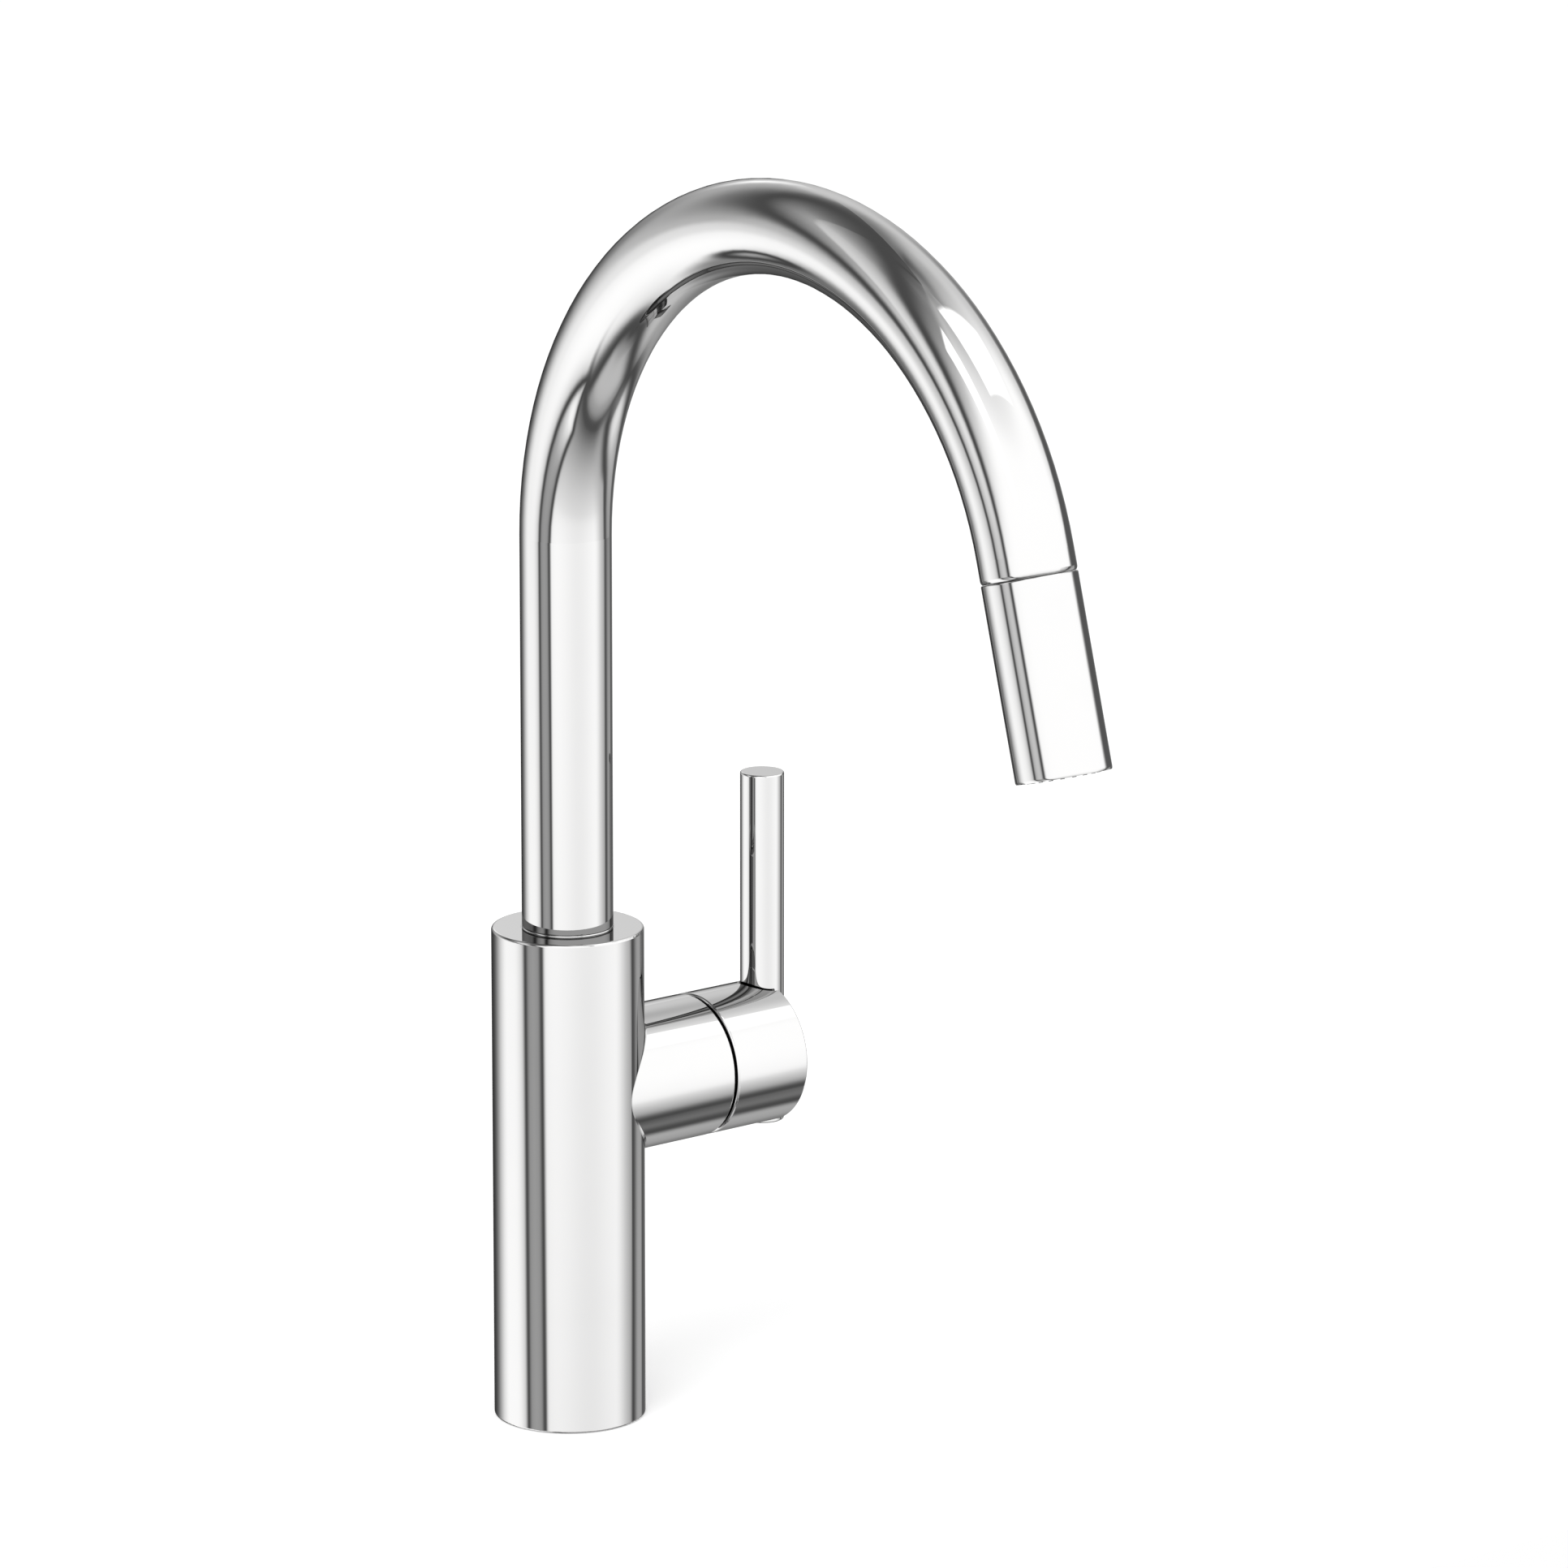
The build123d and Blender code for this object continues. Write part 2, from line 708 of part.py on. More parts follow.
# ---- Hose end ----
def make_hose_ferrule():
    top = ferrule_low + ferrule_length
    ferrule = ring(ferrule_radius, hose_radius + slip_fit, ferrule_low, top)
    pitch = ferrule_length / (crimp_count + 1)
    for index in range(crimp_count):
        middle = ferrule_low + pitch * (index + 1)
        low = middle - crimp_width / 2
        crimp = ring(ferrule_radius + 1, ferrule_radius - crimp_depth, low, low + crimp_width)
        ferrule -= crimp
    return head_frame * ferrule


def hose_seal_height():
    return (spigot_flange_low + spigot_end) / 2


def make_hose_spigot():
    spigot = bar(spigot_flange_radius, spigot_flange_low, ferrule_low)
    spigot += bar(spigot_radius, spigot_end, spigot_flange_low)
    spigot -= bar(spigot_bore, spigot_end, ferrule_low)
    middle = hose_seal_height()
    half = hose_seal_section / 2 + face_play
    groove_inner = spigot_radius - hose_seal_section
    spigot -= ring(spigot_radius + 1, groove_inner, middle - half, middle + half)
    return head_frame * spigot


def make_hose_seal():
    section = hose_seal_section / 2
    centre = spigot_radius - section + slip_fit / 2
    return head_frame * Pos(0, 0, hose_seal_height()) * Torus(centre, section)


# ---- Spray head ----
def button_window():
    """The opening in the shell that the button fills."""
    half = button_half_width + button_side_gap
    return block(
        (-half, half),
        (0, 2 * spout_radius),
        (button_low - button_end_gap, button_top + button_end_gap),
    )


def make_wand_shell():
    shell = ring(spout_radius, shell_bore, -head_length, shell_top)
    shell = fillet(rim(shell, spout_radius, shell_top), head_rim_edge)
    shell -= Pos(0, 0, -head_length) * end_trim(spout_radius, head_end_bend, head_end_length)
    return head_frame * (shell - button_window())


def make_wand_core():
    flange_low = core_top - core_flange_height
    core = bar(dock_neck_radius, core_top, neck_length)
    core += bar(held_radius, flange_low, core_top)
    core += bar(core_radius, core_floor, flange_low)
    core += bar(held_radius, core_foot, core_floor)
    ear_start = button_half_width + ear_gap
    for side in (-1, 1):
        sides = sorted((side * ear_start, side * (ear_start + ear_thickness)))
        heights = (button_pivot - ear_height / 2, button_pivot + ear_height / 2)
        core += block(sides, (0, ear_out), heights)
    valve_low = spigot_end - check_valve_length - face_play
    core -= bar(flange_bore, spigot_flange_low - face_play, neck_length)
    core -= bar(spigot_hole, valve_low, spigot_flange_low)
    core -= bar(core_waterway, core_foot, valve_low)
    clip_low = ferrule_low + face_play
    core -= bar(flange_bore + clip_depth, clip_low, clip_low + clip_thickness + 2 * face_play)
    pin_hole = Pos(0, button_pivot_out, button_pivot) * Rot(0, 90, 0)
    core -= pin_hole * Cylinder(button_pin_radius + slip_fit / 2, 4 * core_radius)
    core -= cross_bar(plunger_radius + turning_fit, plunger_inner - 2, core_radius, plunger_height)
    core -= cross_bar(spring_pocket_radius, spring_pocket_floor, core_radius + 1, plunger_height)
    return head_frame * core


def make_swivel_clip():
    low = ferrule_low + 2 * face_play
    clip = ring(flange_bore + clip_depth - slip_fit, ferrule_radius + 3 * slip_fit, low, low + clip_thickness)
    clip -= block((-clip_gap / 2, clip_gap / 2), (0, 2 * flange_bore), (low, low + clip_thickness))
    return head_frame * clip


def make_check_valve():
    top = spigot_end - face_play
    low = top - check_valve_length + face_play
    valve = ring(spigot_radius, spigot_bore, low, top)
    poppet = bar(spigot_bore, low + 1, low + 3)
    stem = bar(spigot_bore / 3, low + 1, top)
    return head_frame * (valve + poppet + stem)


def make_button_pin():
    length = 2 * (button_half_width + ear_gap + ear_thickness)
    pin = Cylinder(button_pin_radius, length)
    return head_frame * Pos(0, button_pivot_out, button_pivot) * Rot(0, 90, 0) * pin


def make_spray_button():
    half = button_half_width
    outside = bar(spout_radius - button_skin, button_low, button_top)
    button = outside & block((-half, half), (button_back, 2 * spout_radius), (button_low, button_top))
    boss_heights = (button_pivot - button_boss / 2, button_pivot + button_boss / 2)
    button += block((-half, half), (button_boss_inner, button_back), boss_heights)
    pin_hole = Pos(0, button_pivot_out, button_pivot) * Rot(0, 90, 0)
    button -= pin_hole * Cylinder(button_pin_radius + turning_fit, 4 * half)
    return head_frame * button


def make_diverter_plunger():
    tip_end = button_back - plunger_tip_gap
    collar_start_out = plunger_collar_out - plunger_collar_thickness
    plunger = cross_bar(plunger_radius, plunger_inner, collar_start_out, plunger_height)
    plunger += cross_bar(plunger_collar_radius, collar_start_out, plunger_collar_out, plunger_height)
    plunger += cross_bar(plunger_tip_radius, plunger_collar_out, tip_end, plunger_height)
    return head_frame * plunger


def make_diverter_spring():
    start = spring_pocket_floor + spring_wire_radius + slip_fit
    end = plunger_collar_out - plunger_collar_thickness - spring_wire_radius - slip_fit
    height = end - start
    coil = Helix(height / spring_turns, height, spring_radius)
    wire_section = Plane(origin=coil @ 0, z_dir=coil % 0) * Circle(spring_wire_radius)
    spring = sweep(wire_section, path=coil, is_frenet=True)
    return head_frame * Pos(0, start, plunger_height) * Rot(-90, 0, 0) * spring


def make_face_seal():
    return head_frame * ring(held_radius, face_bore, face_rim, core_foot)


def nozzle_places():
    """The places of the spray nozzles on their circle."""
    step = 2 * pi / nozzle_count
    return [(nozzle_circle * cos(i * step), nozzle_circle * sin(i * step)) for i in range(nozzle_count)]


def make_spray_face():
    face = ring(held_radius, face_bore, face_floor, face_rim)
    face += ring(held_radius, aerator_radius + slip_fit, face_bottom, face_floor)
    collar = aerator_radius + slip_fit + aerator_collar_wall
    face += ring(collar, aerator_radius + slip_fit, face_floor, aerator_collar_top)
    hole = bar(nozzle_root_radius + nozzle_hole_gap, face_bottom, face_floor)
    for x, y in nozzle_places():
        face -= Pos(x, y, 0) * hole
    return head_frame * face


def make_nozzle_ring():
    inner = aerator_radius + 2 * slip_fit + aerator_collar_wall
    mat_top = face_floor + nozzle_mat_thickness
    tip = -head_length - nozzle_proud
    mat = ring(face_bore - slip_fit, inner, face_floor, mat_top)
    cone_height = face_floor - tip
    cone = Pos(0, 0, tip) * Cone(nozzle_tip_radius, nozzle_root_radius, cone_height, align=BOTTOM)
    bore = bar(nozzle_bore, tip, mat_top)
    for x, y in nozzle_places():
        mat += Pos(x, y, 0) * cone
        mat -= Pos(x, y, 0) * bore
    return head_frame * mat


def make_aerator_housing():
    low = -head_length + aerator_recess
    housing = ring(aerator_radius, aerator_radius - aerator_wall, low, low + aerator_height)
    return head_frame * housing


def make_aerator_screen():
    low = -head_length + aerator_recess + 0.2
    screen = bar(aerator_radius - aerator_wall - slip_fit, low, low + screen_thickness)
    hole = bar(screen_hole_radius, low, low + screen_thickness)
    for x, y in screen_hole_places():
        screen -= Pos(x, y, 0) * hole
    return head_frame * screen


def screen_hole_places():
    """A hexagonal grid of holes within a number of rings round the middle one."""
    places = []
    for row in range(-screen_rings, screen_rings + 1):
        columns = 2 * screen_rings + 1 - abs(row)
        for column in range(columns):
            x = (column - (columns - 1) / 2) * screen_hole_pitch
            places.append((x, row * screen_hole_pitch * sin(radians(60))))
    return places


MAKERS = {
    "faucet_body": make_faucet_body,
    "valve_block": make_valve_block,
    "base_ring": make_base_ring,
    "base_gasket": make_base_gasket,
    "cartridge_base": make_cartridge_base,
    "port_seals": make_port_seals,
    "fixed_disc": make_fixed_disc,
    "cartridge_housing": make_cartridge_housing,
    "bonnet_nut": make_bonnet_nut,
    "hub_glide_ring": make_hub_glide_ring,
    "thrust_washer": make_thrust_washer,
    "spout_set_screw": make_spout_set_screw,
    "spout_tube": make_spout_tube,
    "spout_adapter": make_spout_adapter,
    "swivel_bushings": make_swivel_bushings,
    "swivel_seal": make_swivel_seal,
    "foot_ring": make_foot_ring,
    "dock_insert": make_dock_insert,
    "pull_hose": make_pull_hose,
    "hose_connector": make_hose_connector,
    "hose_ferrule": make_hose_ferrule,
    "hose_spigot": make_hose_spigot,
    "hose_seal": make_hose_seal,
    "wand_shell": make_wand_shell,
    "wand_core": make_wand_core,
    "swivel_clip": make_swivel_clip,
    "check_valve": make_check_valve,
    "button_pin": make_button_pin,
    "spray_button": make_spray_button,
    "diverter_plunger": make_diverter_plunger,
    "diverter_spring": make_diverter_spring,
    "face_seal": make_face_seal,
    "spray_face": make_spray_face,
    "nozzle_ring": make_nozzle_ring,
    "aerator_housing": make_aerator_housing,
    "aerator_screen": make_aerator_screen,
    "handle_hub": make_handle_hub,
    "stem_rotor": make_stem_rotor,
    "stem_pin": make_stem_pin,
    "hub_set_screw": make_hub_set_screw,
    "lever_rod": make_lever_rod,
    "valve_stem": make_valve_stem,
    "lever_set_screw": make_lever_set_screw,
    "disc_carrier": make_disc_carrier,
    "moving_disc": make_moving_disc,
}

os.makedirs("parts", exist_ok=True)
for node, maker in MAKERS.items():
    export_step(maker(), f"parts/{node}.step")
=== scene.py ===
"""Dresses a pull-down kitchen faucet: its finishes, the drawn-out hose, a spring and the studio round it.

Sizes are in millimetres in the part's own frame: the origin is the middle of the foot on the deck, +Z is up,
the spout reaches towards -Y and the handle stub points along +X. Meshes are written in metres.
"""
import json
import logging
import math
from dataclasses import dataclass, field
from enum import Enum
from typing import Any, Optional, Sequence, Union

import bpy
import numpy as np
from mathutils import Matrix, Vector


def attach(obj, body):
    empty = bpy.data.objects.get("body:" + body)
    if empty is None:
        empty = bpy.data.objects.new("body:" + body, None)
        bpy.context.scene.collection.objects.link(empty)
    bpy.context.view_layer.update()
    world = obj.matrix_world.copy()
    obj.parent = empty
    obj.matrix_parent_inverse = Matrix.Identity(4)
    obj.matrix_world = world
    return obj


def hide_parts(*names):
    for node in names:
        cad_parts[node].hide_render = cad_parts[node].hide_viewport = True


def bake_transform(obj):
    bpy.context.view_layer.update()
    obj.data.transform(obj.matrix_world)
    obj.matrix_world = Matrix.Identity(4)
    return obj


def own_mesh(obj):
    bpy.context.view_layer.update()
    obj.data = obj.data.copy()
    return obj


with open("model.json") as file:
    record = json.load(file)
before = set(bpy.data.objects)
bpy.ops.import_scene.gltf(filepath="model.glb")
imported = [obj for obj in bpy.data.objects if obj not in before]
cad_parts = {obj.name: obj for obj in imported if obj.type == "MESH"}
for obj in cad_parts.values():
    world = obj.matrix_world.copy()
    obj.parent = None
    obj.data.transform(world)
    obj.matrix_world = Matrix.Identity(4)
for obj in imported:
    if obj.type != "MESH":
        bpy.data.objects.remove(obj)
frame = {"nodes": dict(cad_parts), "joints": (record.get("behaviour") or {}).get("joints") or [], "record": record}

log = logging.getLogger("faucet")

MM = 0.001
FULL_TURN = 2.0 * math.pi
HALF_TURN_DEGREES = 180.0

Point = tuple[float, float, float]
Colour = tuple[float, float, float]
Span = tuple[float, float]


# --------------------------------------------------------------------------------------------------------
# Shader maths
# --------------------------------------------------------------------------------------------------------
class Wire:
    """A shader socket that does arithmetic on values with plain operators."""

    def __init__(self, graph: "Graph", socket: bpy.types.NodeSocket) -> None:
        """Wraps an output socket of a graph."""
        self.graph = graph
        self.socket = socket

    def math(self, operation: str, *others: "Value") -> "Wire":
        """The result of a Math node whose first input is this value."""
        return self.graph.node("ShaderNodeMath", {"operation": operation}, dict(enumerate((self, *others))))

    def __add__(self, other: "Value") -> "Wire":
        """The sum."""
        return self.math("ADD", other)

    __radd__ = __add__

    def __mul__(self, other: "Value") -> "Wire":
        """The product."""
        return self.math("MULTIPLY", other)

    __rmul__ = __mul__

    def __sub__(self, other: "Value") -> "Wire":
        """The difference."""
        return self.math("SUBTRACT", other)

    def __rsub__(self, other: "Value") -> "Wire":
        """A number less this value."""
        return self.math("MULTIPLY_ADD", -1.0, other)

    def __truediv__(self, other: "Value") -> "Wire":
        """The quotient."""
        return self.math("DIVIDE", other)

    def __pow__(self, other: "Value") -> "Wire":
        """The power."""
        return self.math("POWER", other)

    def __neg__(self) -> "Wire":
        """The negative."""
        return self.math("MULTIPLY", -1.0)

    def least(self, other: "Value") -> "Wire":
        """The smaller of two values."""
        return self.math("MINIMUM", other)

    def most(self, other: "Value") -> "Wire":
        """The larger of two values."""
        return self.math("MAXIMUM", other)

    def step(self, low: float, high: float) -> "Wire":
        """A smooth rise from 0 at low to 1 at high.

        Args:
            low: Where the rise starts.
            high: Where it ends; below low, the step falls.

        Returns:
            The smooth step of this value.
        """
        inputs = {"Value": self, "From Min": min(low, high), "From Max": max(low, high)}
        if low > high:
            inputs |= {"To Min": 1.0, "To Max": 0.0}
        return self.graph.node("ShaderNodeMapRange", {"interpolation_type": "SMOOTHSTEP"}, inputs)

    def toward(self, other: "Value", share: "Value") -> "Wire":
        """This value moved a share of the way, from 0 to 1, to another."""
        settings = {"data_type": "FLOAT", "clamp_factor": True}
        return self.graph.node("ShaderNodeMix", settings, {0: share, 2: self, 3: other})

    def bell(self, middle: "Value", width: "Value") -> "Wire":
        """A bell curve of this value: 1 at the middle, about a third at one width from it."""
        share = (self - middle) / width
        return (share * share * -1.0).math("EXPONENT")


Value = Union[Wire, float]


class Graph:
    """A node tree that is written as expressions."""

    def __init__(self, tree: bpy.types.NodeTree) -> None:
        """Clears the node tree of a material or the world for use."""
        self.tree = tree
        tree.nodes.clear()

    def add(self, kind: str, settings: dict[str, Any], values: dict[Any, Any]) -> bpy.types.Node:
        """Adds a node, sets it up and joins its inputs.

        Args:
            kind: The node's type.
            settings: Its own settings, set before its inputs; "points" fills a curve.
            values: Numbers, colours or wires for its inputs, by name or by place.

        Returns:
            The node.
        """
        node = self.tree.nodes.new(kind)
        for name, setting in settings.items():
            if name == "points":
                self._fill_curve(node.mapping, setting)
            else:
                setattr(node, name, setting)
        for name, value in values.items():
            socket = node.inputs[name]
            if isinstance(value, Wire):
                self.tree.links.new(value.socket, socket)
            elif socket.type == "RGBA":
                socket.default_value = (*value[:3], 1.0)
            else:
                socket.default_value = value
        return node

    def node(
        self, kind: str, settings: dict[str, Any], values: dict[Any, Any], output: Union[int, str] = 0
    ) -> Wire:
        """Adds a node and gives one of its outputs, by name or by place."""
        return Wire(self, self.add(kind, settings, values).outputs[output])

    def number(self, value: float) -> Wire:
        """Turns a number into a wire.

        Args:
            value: The number.

        Returns:
            The wire.
        """
        made = self.add("ShaderNodeValue", {}, {})
        made.outputs[0].default_value = value
        return Wire(self, made.outputs[0])

    @staticmethod
    def _fill_curve(mapping: bpy.types.CurveMapping, points: Sequence[Span]) -> None:
        """Writes a curve's points.

        Args:
            mapping: The curve mapping.
            points: Its points, from left to right, at least two.
        """
        mapping.use_clip = False
        curve = mapping.curves[0]
        while len(curve.points) < len(points):
            curve.points.new(0.5, 0.5)
        for point, place in zip(curve.points, points):
            point.location = place
            point.handle_type = "AUTO_CLAMPED"
        mapping.update()


# --------------------------------------------------------------------------------------------------------
# Finishes
# --------------------------------------------------------------------------------------------------------
@dataclass(frozen=True)
class Pattern:
    """A noise pattern over a surface.

    Size is its grain in millimetres, detail its octaves, and stretch how much longer it is along each axis.
    Patches, if given, are the two values between which the noise is sharpened into patches.
    """

    size: float
    detail: float = 3.0
    stretch: Point = (1.0, 1.0, 1.0)
    patches: Optional[Span] = None


@dataclass(frozen=True)
class Finish:
    """A finish of one material slot; each kind fills in its own shader."""

    slot: str
    colour: Colour
    roughness: float

    def material(self) -> bpy.types.Material:
        """Makes the finish's material.

        Returns:
            The material, named after its slot.
        """
        made = bpy.data.materials.new(self.slot)
        made.use_nodes = True
        made.diffuse_color = (*self.colour, 1.0)
        graph = Graph(made.node_tree)
        shader = graph.node("ShaderNodeBsdfPrincipled", {}, self.surface(graph), "BSDF")
        graph.add("ShaderNodeOutputMaterial", {}, {"Surface": shader})
        return made

    def surface(self, graph: Graph) -> dict[str, Any]:
        """The inputs of the surface shader.

        Args:
            graph: The material's graph.

        Returns:
            A value or a wire for each input that isn't at its default.
        """
        raise NotImplementedError

    def place(self, graph: Graph) -> Wire:
        """A point of the surface in millimetres, in the piece's own space."""
        point = graph.node("ShaderNodeTexCoord", {}, {}, "Object")
        return graph.node("ShaderNodeVectorMath", {"operation": "SCALE"}, {0: point, "Scale": 1.0 / MM})

    def noise(self, graph: Graph, pattern: Pattern) -> Wire:
        """A noise pattern over the surface.

        Args:
            graph: The material's graph.
            pattern: The pattern.

        Returns:
            The noise, from 0 to 1.
        """
        squeeze = tuple(1.0 / share for share in pattern.stretch)
        values = {0: self.place(graph), 1: squeeze}
        point = graph.node("ShaderNodeVectorMath", {"operation": "MULTIPLY"}, values)
        inputs = {"Vector": point, "Scale": 1.0 / pattern.size, "Detail": pattern.detail}
        grain = graph.node("ShaderNodeTexNoise", {}, inputs)
        return grain.step(*pattern.patches) if pattern.patches else grain

    def tinted(self, graph: Graph, amount: Wire, other: Colour) -> Wire:
        """The finish's colour, mixed with an amount of another."""
        return graph.node("ShaderNodeMix", {"data_type": "RGBA"}, {0: amount, 6: self.colour, 7: other}, 2)

    def relief(self, graph: Graph, height: Wire, depth: float) -> Wire:
        """The normal of a height pattern, where 1 stands as high as the depth in millimetres."""
        inputs = {"Strength": 1.0, "Distance": depth * MM, "Height": height}
        return graph.node("ShaderNodeBump", {}, inputs, "Normal")


@dataclass(frozen=True)
class Chrome(Finish):
    """Bright chrome plating: a mirror with the faintest haze where it is wiped, over the wheel's waves."""

    wiping: Pattern = Pattern(22.0, 4.0, patches=(0.45, 0.75))
    streaks: Pattern = Pattern(1.1, 2.0)
    waves: Pattern = Pattern(16.0, 1.0)
    wave_depth: float = 0.0006
    haze: float = 0.02
    wiped_tone: float = 0.985
    wiped_share: float = 0.6

    def surface(self, graph: Graph) -> dict[str, Any]:
        """A mirror, a little less sharp where it is wiped, over waves that the polishing wheel leaves.

        Args:
            graph: The material's graph.

        Returns:
            The inputs of the surface shader.
        """
        wiped = self.noise(graph, self.wiping)
        streaks = self.noise(graph, self.streaks)
        waves = self.noise(graph, self.waves)
        wiped_colour = tuple(share * self.wiped_tone for share in self.colour)
        return {
            "Base Color": self.tinted(graph, wiped * self.wiped_share, wiped_colour),
            "Metallic": 1.0,
            "Roughness": self.roughness + self.haze * wiped * streaks,
            "Normal": self.relief(graph, waves, self.wave_depth),
        }


@dataclass(frozen=True)
class TurnedMetal(Finish):
    """Bare metal off the lathe: fine rings round the vertical, with tarnish in its hollows."""

    tarnish: Colour = (0.3, 0.2, 0.1)
    rings: Pattern = Pattern(0.35, 2.0, (60.0, 60.0, 1.0))
    tarnishing: Pattern = Pattern(9.0, 5.0, patches=(0.48, 0.72))
    tarnish_share: float = 0.55
    ring_haze: float = 0.12
    tarnish_haze: float = 0.15
    ring_depth: float = 0.012

    def surface(self, graph: Graph) -> dict[str, Any]:
        """Rings of the tool's path, patches of tarnish and a worn sheen.

        Args:
            graph: The material's graph.

        Returns:
            The inputs of the surface shader.
        """
        rings = self.noise(graph, self.rings)
        patches = self.noise(graph, self.tarnishing)
        return {
            "Base Color": self.tinted(graph, patches * self.tarnish_share, self.tarnish),
            "Metallic": 1.0,
            "Roughness": self.roughness + self.ring_haze * rings + self.tarnish_haze * patches,
            "Normal": self.relief(graph, rings, self.ring_depth),
        }


@dataclass(frozen=True)
class Rubber(Finish):
    """Moulded rubber or silicone: matt, with a soft grain and a pale bloom."""

    bloom: Colour = (0.12, 0.12, 0.12)
    grain: Pattern = Pattern(0.25)
    blooming: Pattern = Pattern(5.0, 4.0, patches=(0.45, 0.8))
    bloom_share: float = 0.5
    bloom_haze: float = 0.15
    grain_depth: float = 0.02

    def surface(self, graph: Graph) -> dict[str, Any]:
        """A fine moulded grain with faint bloom.

        Args:
            graph: The material's graph.

        Returns:
            The inputs of the surface shader.
        """
        grain = self.noise(graph, self.grain)
        bloom = self.noise(graph, self.blooming)
        return {
            "Base Color": self.tinted(graph, bloom * self.bloom_share, self.bloom),
            "Roughness": self.roughness + self.bloom_haze * bloom,
            "Normal": self.relief(graph, grain, self.grain_depth),
        }


@dataclass(frozen=True)
class Ceramic(Finish):
    """Lapped ceramic: dense, pale and smooth, with specks and fine lapping marks."""

    speck: Colour = (0.6, 0.58, 0.52)
    specks: Pattern = Pattern(0.5, 2.0, patches=(0.62, 0.72))
    lapping: Pattern = Pattern(0.15, 2.0)
    speck_share: float = 0.6
    lapping_haze: float = 0.08
    lapping_depth: float = 0.003
    coat: float = 0.3

    def surface(self, graph: Graph) -> dict[str, Any]:
        """Specks in the body and a satin lapped face.

        Args:
            graph: The material's graph.

        Returns:
            The inputs of the surface shader.
        """
        specks = self.noise(graph, self.specks)
        lapped = self.noise(graph, self.lapping)
        return {
            "Base Color": self.tinted(graph, specks * self.speck_share, self.speck),
            "Roughness": self.roughness + self.lapping_haze * lapped,
            "Coat Weight": self.coat,
            "Normal": self.relief(graph, lapped, self.lapping_depth),
        }


@dataclass(frozen=True)
class Moulded(Finish):
    """Injection-moulded plastic: spark-textured, slightly mottled, a little shiny on its high spots."""

    mottle: Colour = (0.5, 0.5, 0.5)
    grain: Pattern = Pattern(0.3, 4.0)
    flow: Pattern = Pattern(12.0, 3.0, (1.0, 1.0, 2.5), (0.4, 0.7))
    flow_share: float = 0.5
    grain_haze: float = 0.12
    grain_depth: float = 0.012

    def surface(self, graph: Graph) -> dict[str, Any]:
        """A fine texture from the mould and slow mottling from the flow.

        Args:
            graph: The material's graph.

        Returns:
            The inputs of the surface shader.
        """
        grain = self.noise(graph, self.grain)
        flow = self.noise(graph, self.flow)
        return {
            "Base Color": self.tinted(graph, flow * self.flow_share, self.mottle),
            "Roughness": self.roughness + self.grain_haze * grain,
            "Normal": self.relief(graph, grain, self.grain_depth),
        }


class Lay(Enum):
    """How a braid finds its way round a hose."""

    UPRIGHT = "round the vertical"
    MAPPED = "by the piece's own map"


@dataclass(frozen=True)
class Braid(Finish):
    """A braided sleeve: strands cross on two helices, each bundle rounded, with painted shade: lighter where it
    rises, darker in the hollows.
    """

    # The colour of the painted shade in the hollows between bundles.
    shade: Colour = (0.1, 0.1, 0.1)
    lay: Lay = Lay.UPRIGHT
    pitch: float = 3.4
    strands: int = 12
    crossing: Span = (-0.12, 0.12)
    roundness: float = 0.5
    hollow_haze: float = 0.2
    bundle_depth: float = 0.25

    def ways(self, graph: Graph) -> tuple[Wire, Wire]:
        """Finds where a point lies on the sleeve.

        Args:
            graph: The material's graph.

        Returns:
            How far along and how far round the hose it lies, in bundles.
        """
        if self.lay is Lay.MAPPED:
            mapped = graph.node("ShaderNodeUVMap", {"uv_map": "weave"}, {})
            axes = graph.add("ShaderNodeSeparateXYZ", {}, {0: mapped})
            return Wire(graph, axes.outputs[0]), Wire(graph, axes.outputs[1])
        axes = graph.add("ShaderNodeSeparateXYZ", {}, {0: self.place(graph)})
        x, y, z = (Wire(graph, socket) for socket in axes.outputs)
        return z / self.pitch, x.math("ARCTAN2", y) * (self.strands / FULL_TURN)

    def surface(self, graph: Graph) -> dict[str, Any]:
        """Two sets of bundles that pass over and under each other, with painted shade darkening the colour towards
        the hollows between bundles.

        Args:
            graph: The material's graph.

        Returns:
            The inputs of the surface shader.
        """
        along, aside = self.ways(graph)
        left, right = along + aside, along - aside
        over = (left * math.pi).math("SINE") * (right * math.pi).math("SINE")
        left_bundle = 1.0 - (left.math("FRACT") - 0.5).math("ABSOLUTE") * 2.0
        right_bundle = 1.0 - (right.math("FRACT") - 0.5).math("ABSOLUTE") * 2.0
        pick = over.step(*self.crossing)
        height = (left_bundle * pick + right_bundle * (1.0 - pick)) ** self.roundness
        return {
            # Painted shade: the colour darkens to the shade colour towards the hollows between bundles.
            "Base Color": self.tinted(graph, 1.0 - height, self.shade),
            "Roughness": self.roughness + self.hollow_haze * (1.0 - height),
            "Normal": self.relief(graph, height, self.bundle_depth),
        }


PALE_CHROME: Colour = (0.93, 0.927, 0.925)
FINE_RINGS = Pattern(0.2, 2.0, (60.0, 60.0, 1.0))
FINE_GRAIN = Pattern(0.15)
GREY_BRAID: Colour = (0.42, 0.42, 0.44)
# The colour of the braid's painted shade in the hollows between its bundles.
BRAID_PAINTED_SHADE: Colour = (0.06, 0.06, 0.063)

